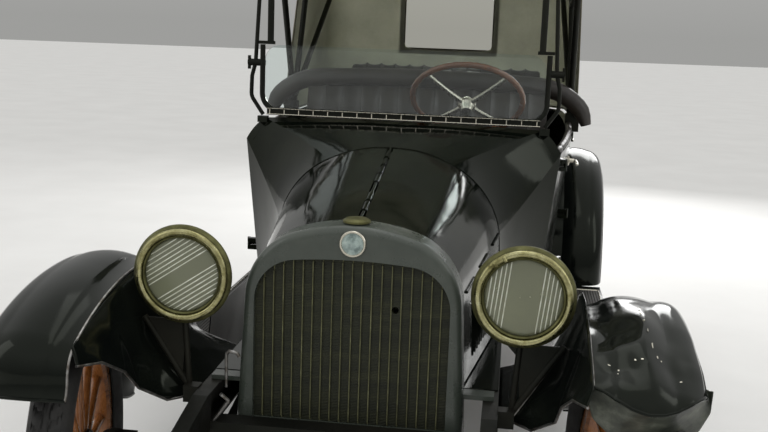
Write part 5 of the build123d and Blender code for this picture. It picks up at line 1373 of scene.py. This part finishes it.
# Lamp brackets: pressed gussets with rolled edges between each lamp, its fender and the frame, the edges
# drawn in lighter steel as painted highlight
gusset_corners = ((0.541, 0.806), (0.424, 0.618), (0.432, 0.806), (0.438, 0.660))
for side, side_name in sides:
    gusset = Shape()
    outer_top, foot_spot, inner_top, inner_foot = (Vector((x, back(0.004), z)) for x, z in gusset_corners)
    rows = []
    for k in range(9):
        outer, inner = outer_top.lerp(foot_spot, k / 8), inner_top.lerp(inner_foot, k / 8)
        rows.append([outer.lerp(inner, j / 4) + Vector((0, -0.004 * sin(pi * j / 4), 0)) for j in range(5)])
    gusset.grid(rows)
    gusset.on(side).piece(f"lamp_gusset_{side_name}", "car", chassis_black, "chassis_black", (), 60, 0.003)
    # The rolled edges, rib and bolt are drawn in lighter steel as painted highlight along the bracket's
    # edges.
    edges = Shape()
    edges.tube([outer_top, outer_top.lerp(foot_spot, 0.5), foot_spot], 0.0040, 8)
    rib = [outer_top + Vector((-0.022, -0.003, 0)), inner_foot + Vector((0.004, -0.003, 0.02))]
    edges.tube(rib, 0.0026, 8)
    edges.tube([inner_top + Vector((0.006, 0, 0)), inner_foot + Vector((0.006, 0, 0))], 0.0046, 8)
    bolt(edges, (0.462, back(-0.004), 0.778), (0, -1, 0), 0.0095, 0.009)
    edges.on(side).piece(f"lamp_gusset_edges_{side_name}", "car", worn_steel, "chassis_black")

# Radiator badge, kept bare: a domed enamel disc in a raised ring
badge_centre = Vector((0, radiator_y, 1.037))
badge = Shape()
badge.ring([(-0.0010, 0.0335), (-0.0040, 0.0340), (-0.0062, 0.0325), (-0.0062, 0.0290), (-0.0040, 0.0275)],
           badge_centre, (0, 1, 0), 64)
badge.piece("badge_ring", "car", bright_nickel, "lamp_nickel")
field = Shape()
field.ring([(-0.0038, 0.0280), (-0.0046, 0.0200), (-0.0056, 0.0195), (-0.0056, 0.0175), (-0.0048, 0.0170),
            (-0.0060, 0.0080), (-0.0063, 0.0001)], badge_centre, (0, 1, 0), 64)
field.piece("badge_field", "car", badge_enamel, "lamp_nickel")

# Ventilator strip under the windscreen, with a bright slotted grille
vent_half = 0.470
slot_pitch = 0.051
strip = Shape()
strip.block((-vent_half, back(0.9865), 1.2600), (vent_half, back(1.0000), 1.2860), 0.002)
strip.piece("ventilator_bar", "car", chassis_black, "chassis_black")
grille = Shape()
for number in range(-9, 10):
    x = number * slot_pitch
    grille.block((x - 0.0016, back(0.9830), 1.2640), (x + 0.0016, back(0.9868), 1.2800), 0.0006)
for z, radius in ((1.2630, 0.0022), (1.2825, 0.0013)):
    grille.tube([(-vent_half, back(0.9845), z), (vent_half, back(0.9845), z)], radius, 8)
grille.piece("ventilator_grille", "car", bright_nickel, "chassis_black")

# Strap hook and stay rods beside the radiator, on the car's right
hook = Shape()
hook.tube([(-0.325, back(0.006), 0.632), (-0.325, back(0.006), 0.712), (-0.3235, back(0.004), 0.724),
           (-0.317, back(0.002), 0.7305), (-0.304, back(0.0), 0.7305), (-0.294, back(0.0), 0.727),
           (-0.289, back(0.0), 0.718)], 0.0042, 10)
hook.tube([(-0.300, back(-0.060), 0.620), (-0.381, back(-0.060), 0.502)], 0.0055, 10)
hook.tube([(-0.316, back(-0.075), 0.642), (-0.300, back(-0.060), 0.620)], 0.0048, 10)
hook.piece("strap_hook", "car", worn_steel, "chassis_black")

# Padded rolls along the body's top edge and the front doors, and a handle on each door
skin_x, skin_y, skin_radius = circle_through(
    (0.547, back(1.013)), (0.638, back(2.100)), (0.618, rear_axle_y + 0.322))
roll_radius, roll_tip = 0.0135, 0.008
roll_gap = 0.010
handle_z = 1.075
handle_boss = [(-0.004, 0.0001), (-0.004, 0.0200), (0.0015, 0.0205), (0.0040, 0.0180), (0.0060, 0.0100),
               (0.0240, 0.0085), (0.0260, 0.0001)]
handle_reach = 0.032


def skin_half(y):
    """Half width of the body at its top edge."""
    return skin_x + (skin_radius**2 - (y - skin_y) ** 2) ** 0.5


def edge_roll(first, last):
    """Stretch of the padded roll on the left side, from one distance behind the radiator to another."""
    made = Shape()
    steps = max(4, round((last - first) / 0.02))
    ys = [back(first + (last - first) * k / steps) for k in range(steps + 1)]
    made.tube([(skin_half(y) - 0.016, y, belt + 0.004) for y in ys],
              [roll_tip, *[roll_radius] * (steps - 1), roll_tip], 12)
    return made


for side, side_name in sides:
    for door, first, last in (("front", 1.150, 1.690), ("rear", 2.185, 2.600)):
        body = f"door_{door}_{side_name}"
        if door == "front":
            trim = edge_roll(first + roll_gap, last - roll_gap).on(side)
            trim = trim.piece(f"door_roll_{side_name}", body, seat_leather, "seat_leather", (), 60)
        y = back(last - 0.055)
        x = skin_half(y) - 0.007
        handle = Shape()
        handle.ring(handle_boss, (x, y, handle_z), (1, 0, 0), 32)
        lever = ((0.020, 0.004, 0), (0.0285, -0.006, 0), (handle_reach, -0.030, -0.001),
                 (handle_reach, -0.070, -0.003), (handle_reach - 0.003, -0.098, -0.004))
        handle.tube([(x + out, y + along, handle_z + rise) for out, along, rise in lever],
                    (0.0060, 0.0072, 0.0066, 0.0072, 0.0048), 12)
        handle.on(side).piece(f"door_handle_{door}_{side_name}", body, bright_nickel, "chassis_black")
    trim = Shape()
    for first, last in ((1.050, 1.144), (1.698, 2.176)):
        trim.join(edge_roll(first, last))
    trim = trim.on(side).piece(f"body_roll_{side_name}", "car", seat_leather, "seat_leather", (), 60)

# Ribbed mats on the running boards, held by bright edge strips
board_surface = 0.400
mat_start = 0.6265
mat_front, mat_rear = 0.772, 2.205
strip_xs, strip_ys = (0.6175, 0.8165), (0.766, 2.211)
strip_z = board_surface + 0.0030
strip_radius = 0.0038
for side, side_name in sides:
    mat, strips = Shape(), Shape()
    for k in range(16):
        x = mat_start + mat_pitch * k
        low = (x - 0.0058, back(mat_front), board_surface + 0.0004)
        mat.block(low, (x + 0.0058, back(mat_rear), board_surface + 0.0046), 0.0016)
    for x in strip_xs:
        strips.tube([(x, back(0.768), strip_z), (x, back(2.209), strip_z)], strip_radius, 8)
    for y in strip_ys:
        strips.tube([(x, back(y), strip_z) for x in strip_xs], strip_radius, 8)
    mat.on(side).piece(f"board_mat_{side_name}", "car", board_mat, "fender_enamel", (), 40)
    strips.on(side).piece(f"board_strips_{side_name}", "car", bright_nickel, "fender_enamel")

# Gear and brake levers, and three pedals on their arms
levers = Shape()
levers.tube([(0.012, back(1.235), 0.655), (0.012, back(1.262), 0.80), (0.020, back(1.322), 0.985)],
            (0.0085, 0.0072, 0.0058), 10)
levers.ring([(-0.018, 0.0001), (-0.016, 0.0100), (-0.006, 0.0175), (0.004, 0.0185), (0.013, 0.0130),
             (0.0175, 0.0001)], (0.021, back(1.328), 1.002), (0.04, 0.3, 0.95), 24)
levers.tube([(-0.055, back(1.245), 0.655), (-0.058, back(1.300), 0.86), (-0.060, back(1.345), 1.010)],
            (0.0090, 0.0075, 0.0095), 10)
for x in (0.130, 0.235, 0.300):
    levers.tube([(x, back(1.030), 0.690), (x, back(1.075), 0.765), (x, back(1.090), 0.800)], 0.0060, 10)
    levers.block((x - 0.026, back(1.088), 0.785), (x + 0.026, back(1.096), 0.835), 0.003)
levers.piece("levers_and_pedals", "car", chassis_black, "chassis_black")

# Steering wheel: a wooden rim with finger grips, four bright spokes and a hub nut
steering_radius = 0.205
wheel_turn = Matrix.Translation(wheel_centre) @ Matrix.Rotation(-(pi / 2 - column_angle), 4, "X")
rim_shape = Shape()
rows, spots = [], []
for step in range(145):
    angle = 2 * pi * step / 144
    grip = 0.0118 + 0.0006 * cos(angle * 36)
    out = Vector((cos(angle), sin(angle), 0))
    rows.append([wheel_turn @ (out * (steering_radius + grip * cos(a)) + Vector((0, 0, 0.9 * grip * sin(a))))
                 for a in turns(14)])
    spots.append([(angle * steering_radius * 6, k / 14 * 0.4) for k in range(14)])
rim_shape.grid(rows, close_columns=True, spots=spots)
rim_shape.piece("steering_rim", "steering_wheel", rim_wood, "rim_wood", ["steering_wheel"])
spider = Shape()
spoke_line = ((0.020, -0.022), (0.06, -0.021), (0.11, -0.016), (0.16, -0.009), (0.196, -0.004))
for spoke in range(4):
    turn = wheel_turn @ Matrix.Rotation(radians(45 + 90 * spoke), 4, "Z")
    spider.tube([turn @ Vector((r, 0, z)) for r, z in spoke_line],
                (0.011, 0.0095, 0.0082, 0.0075, 0.0085), 12)
spider.ring([(-0.052, 0.0098), (-0.052, 0.020), (-0.040, 0.024), (-0.028, 0.033), (-0.014, 0.034),
             (-0.006, 0.026), (-0.004, 0.016), (0.004, 0.0155), (0.006, 0.010), (0.0065, 0.0001)],
            wheel_centre, (0, cos(column_angle), sin(column_angle)), 36)
spider.piece("steering_spider", "steering_wheel", bright_nickel, "chassis_black")
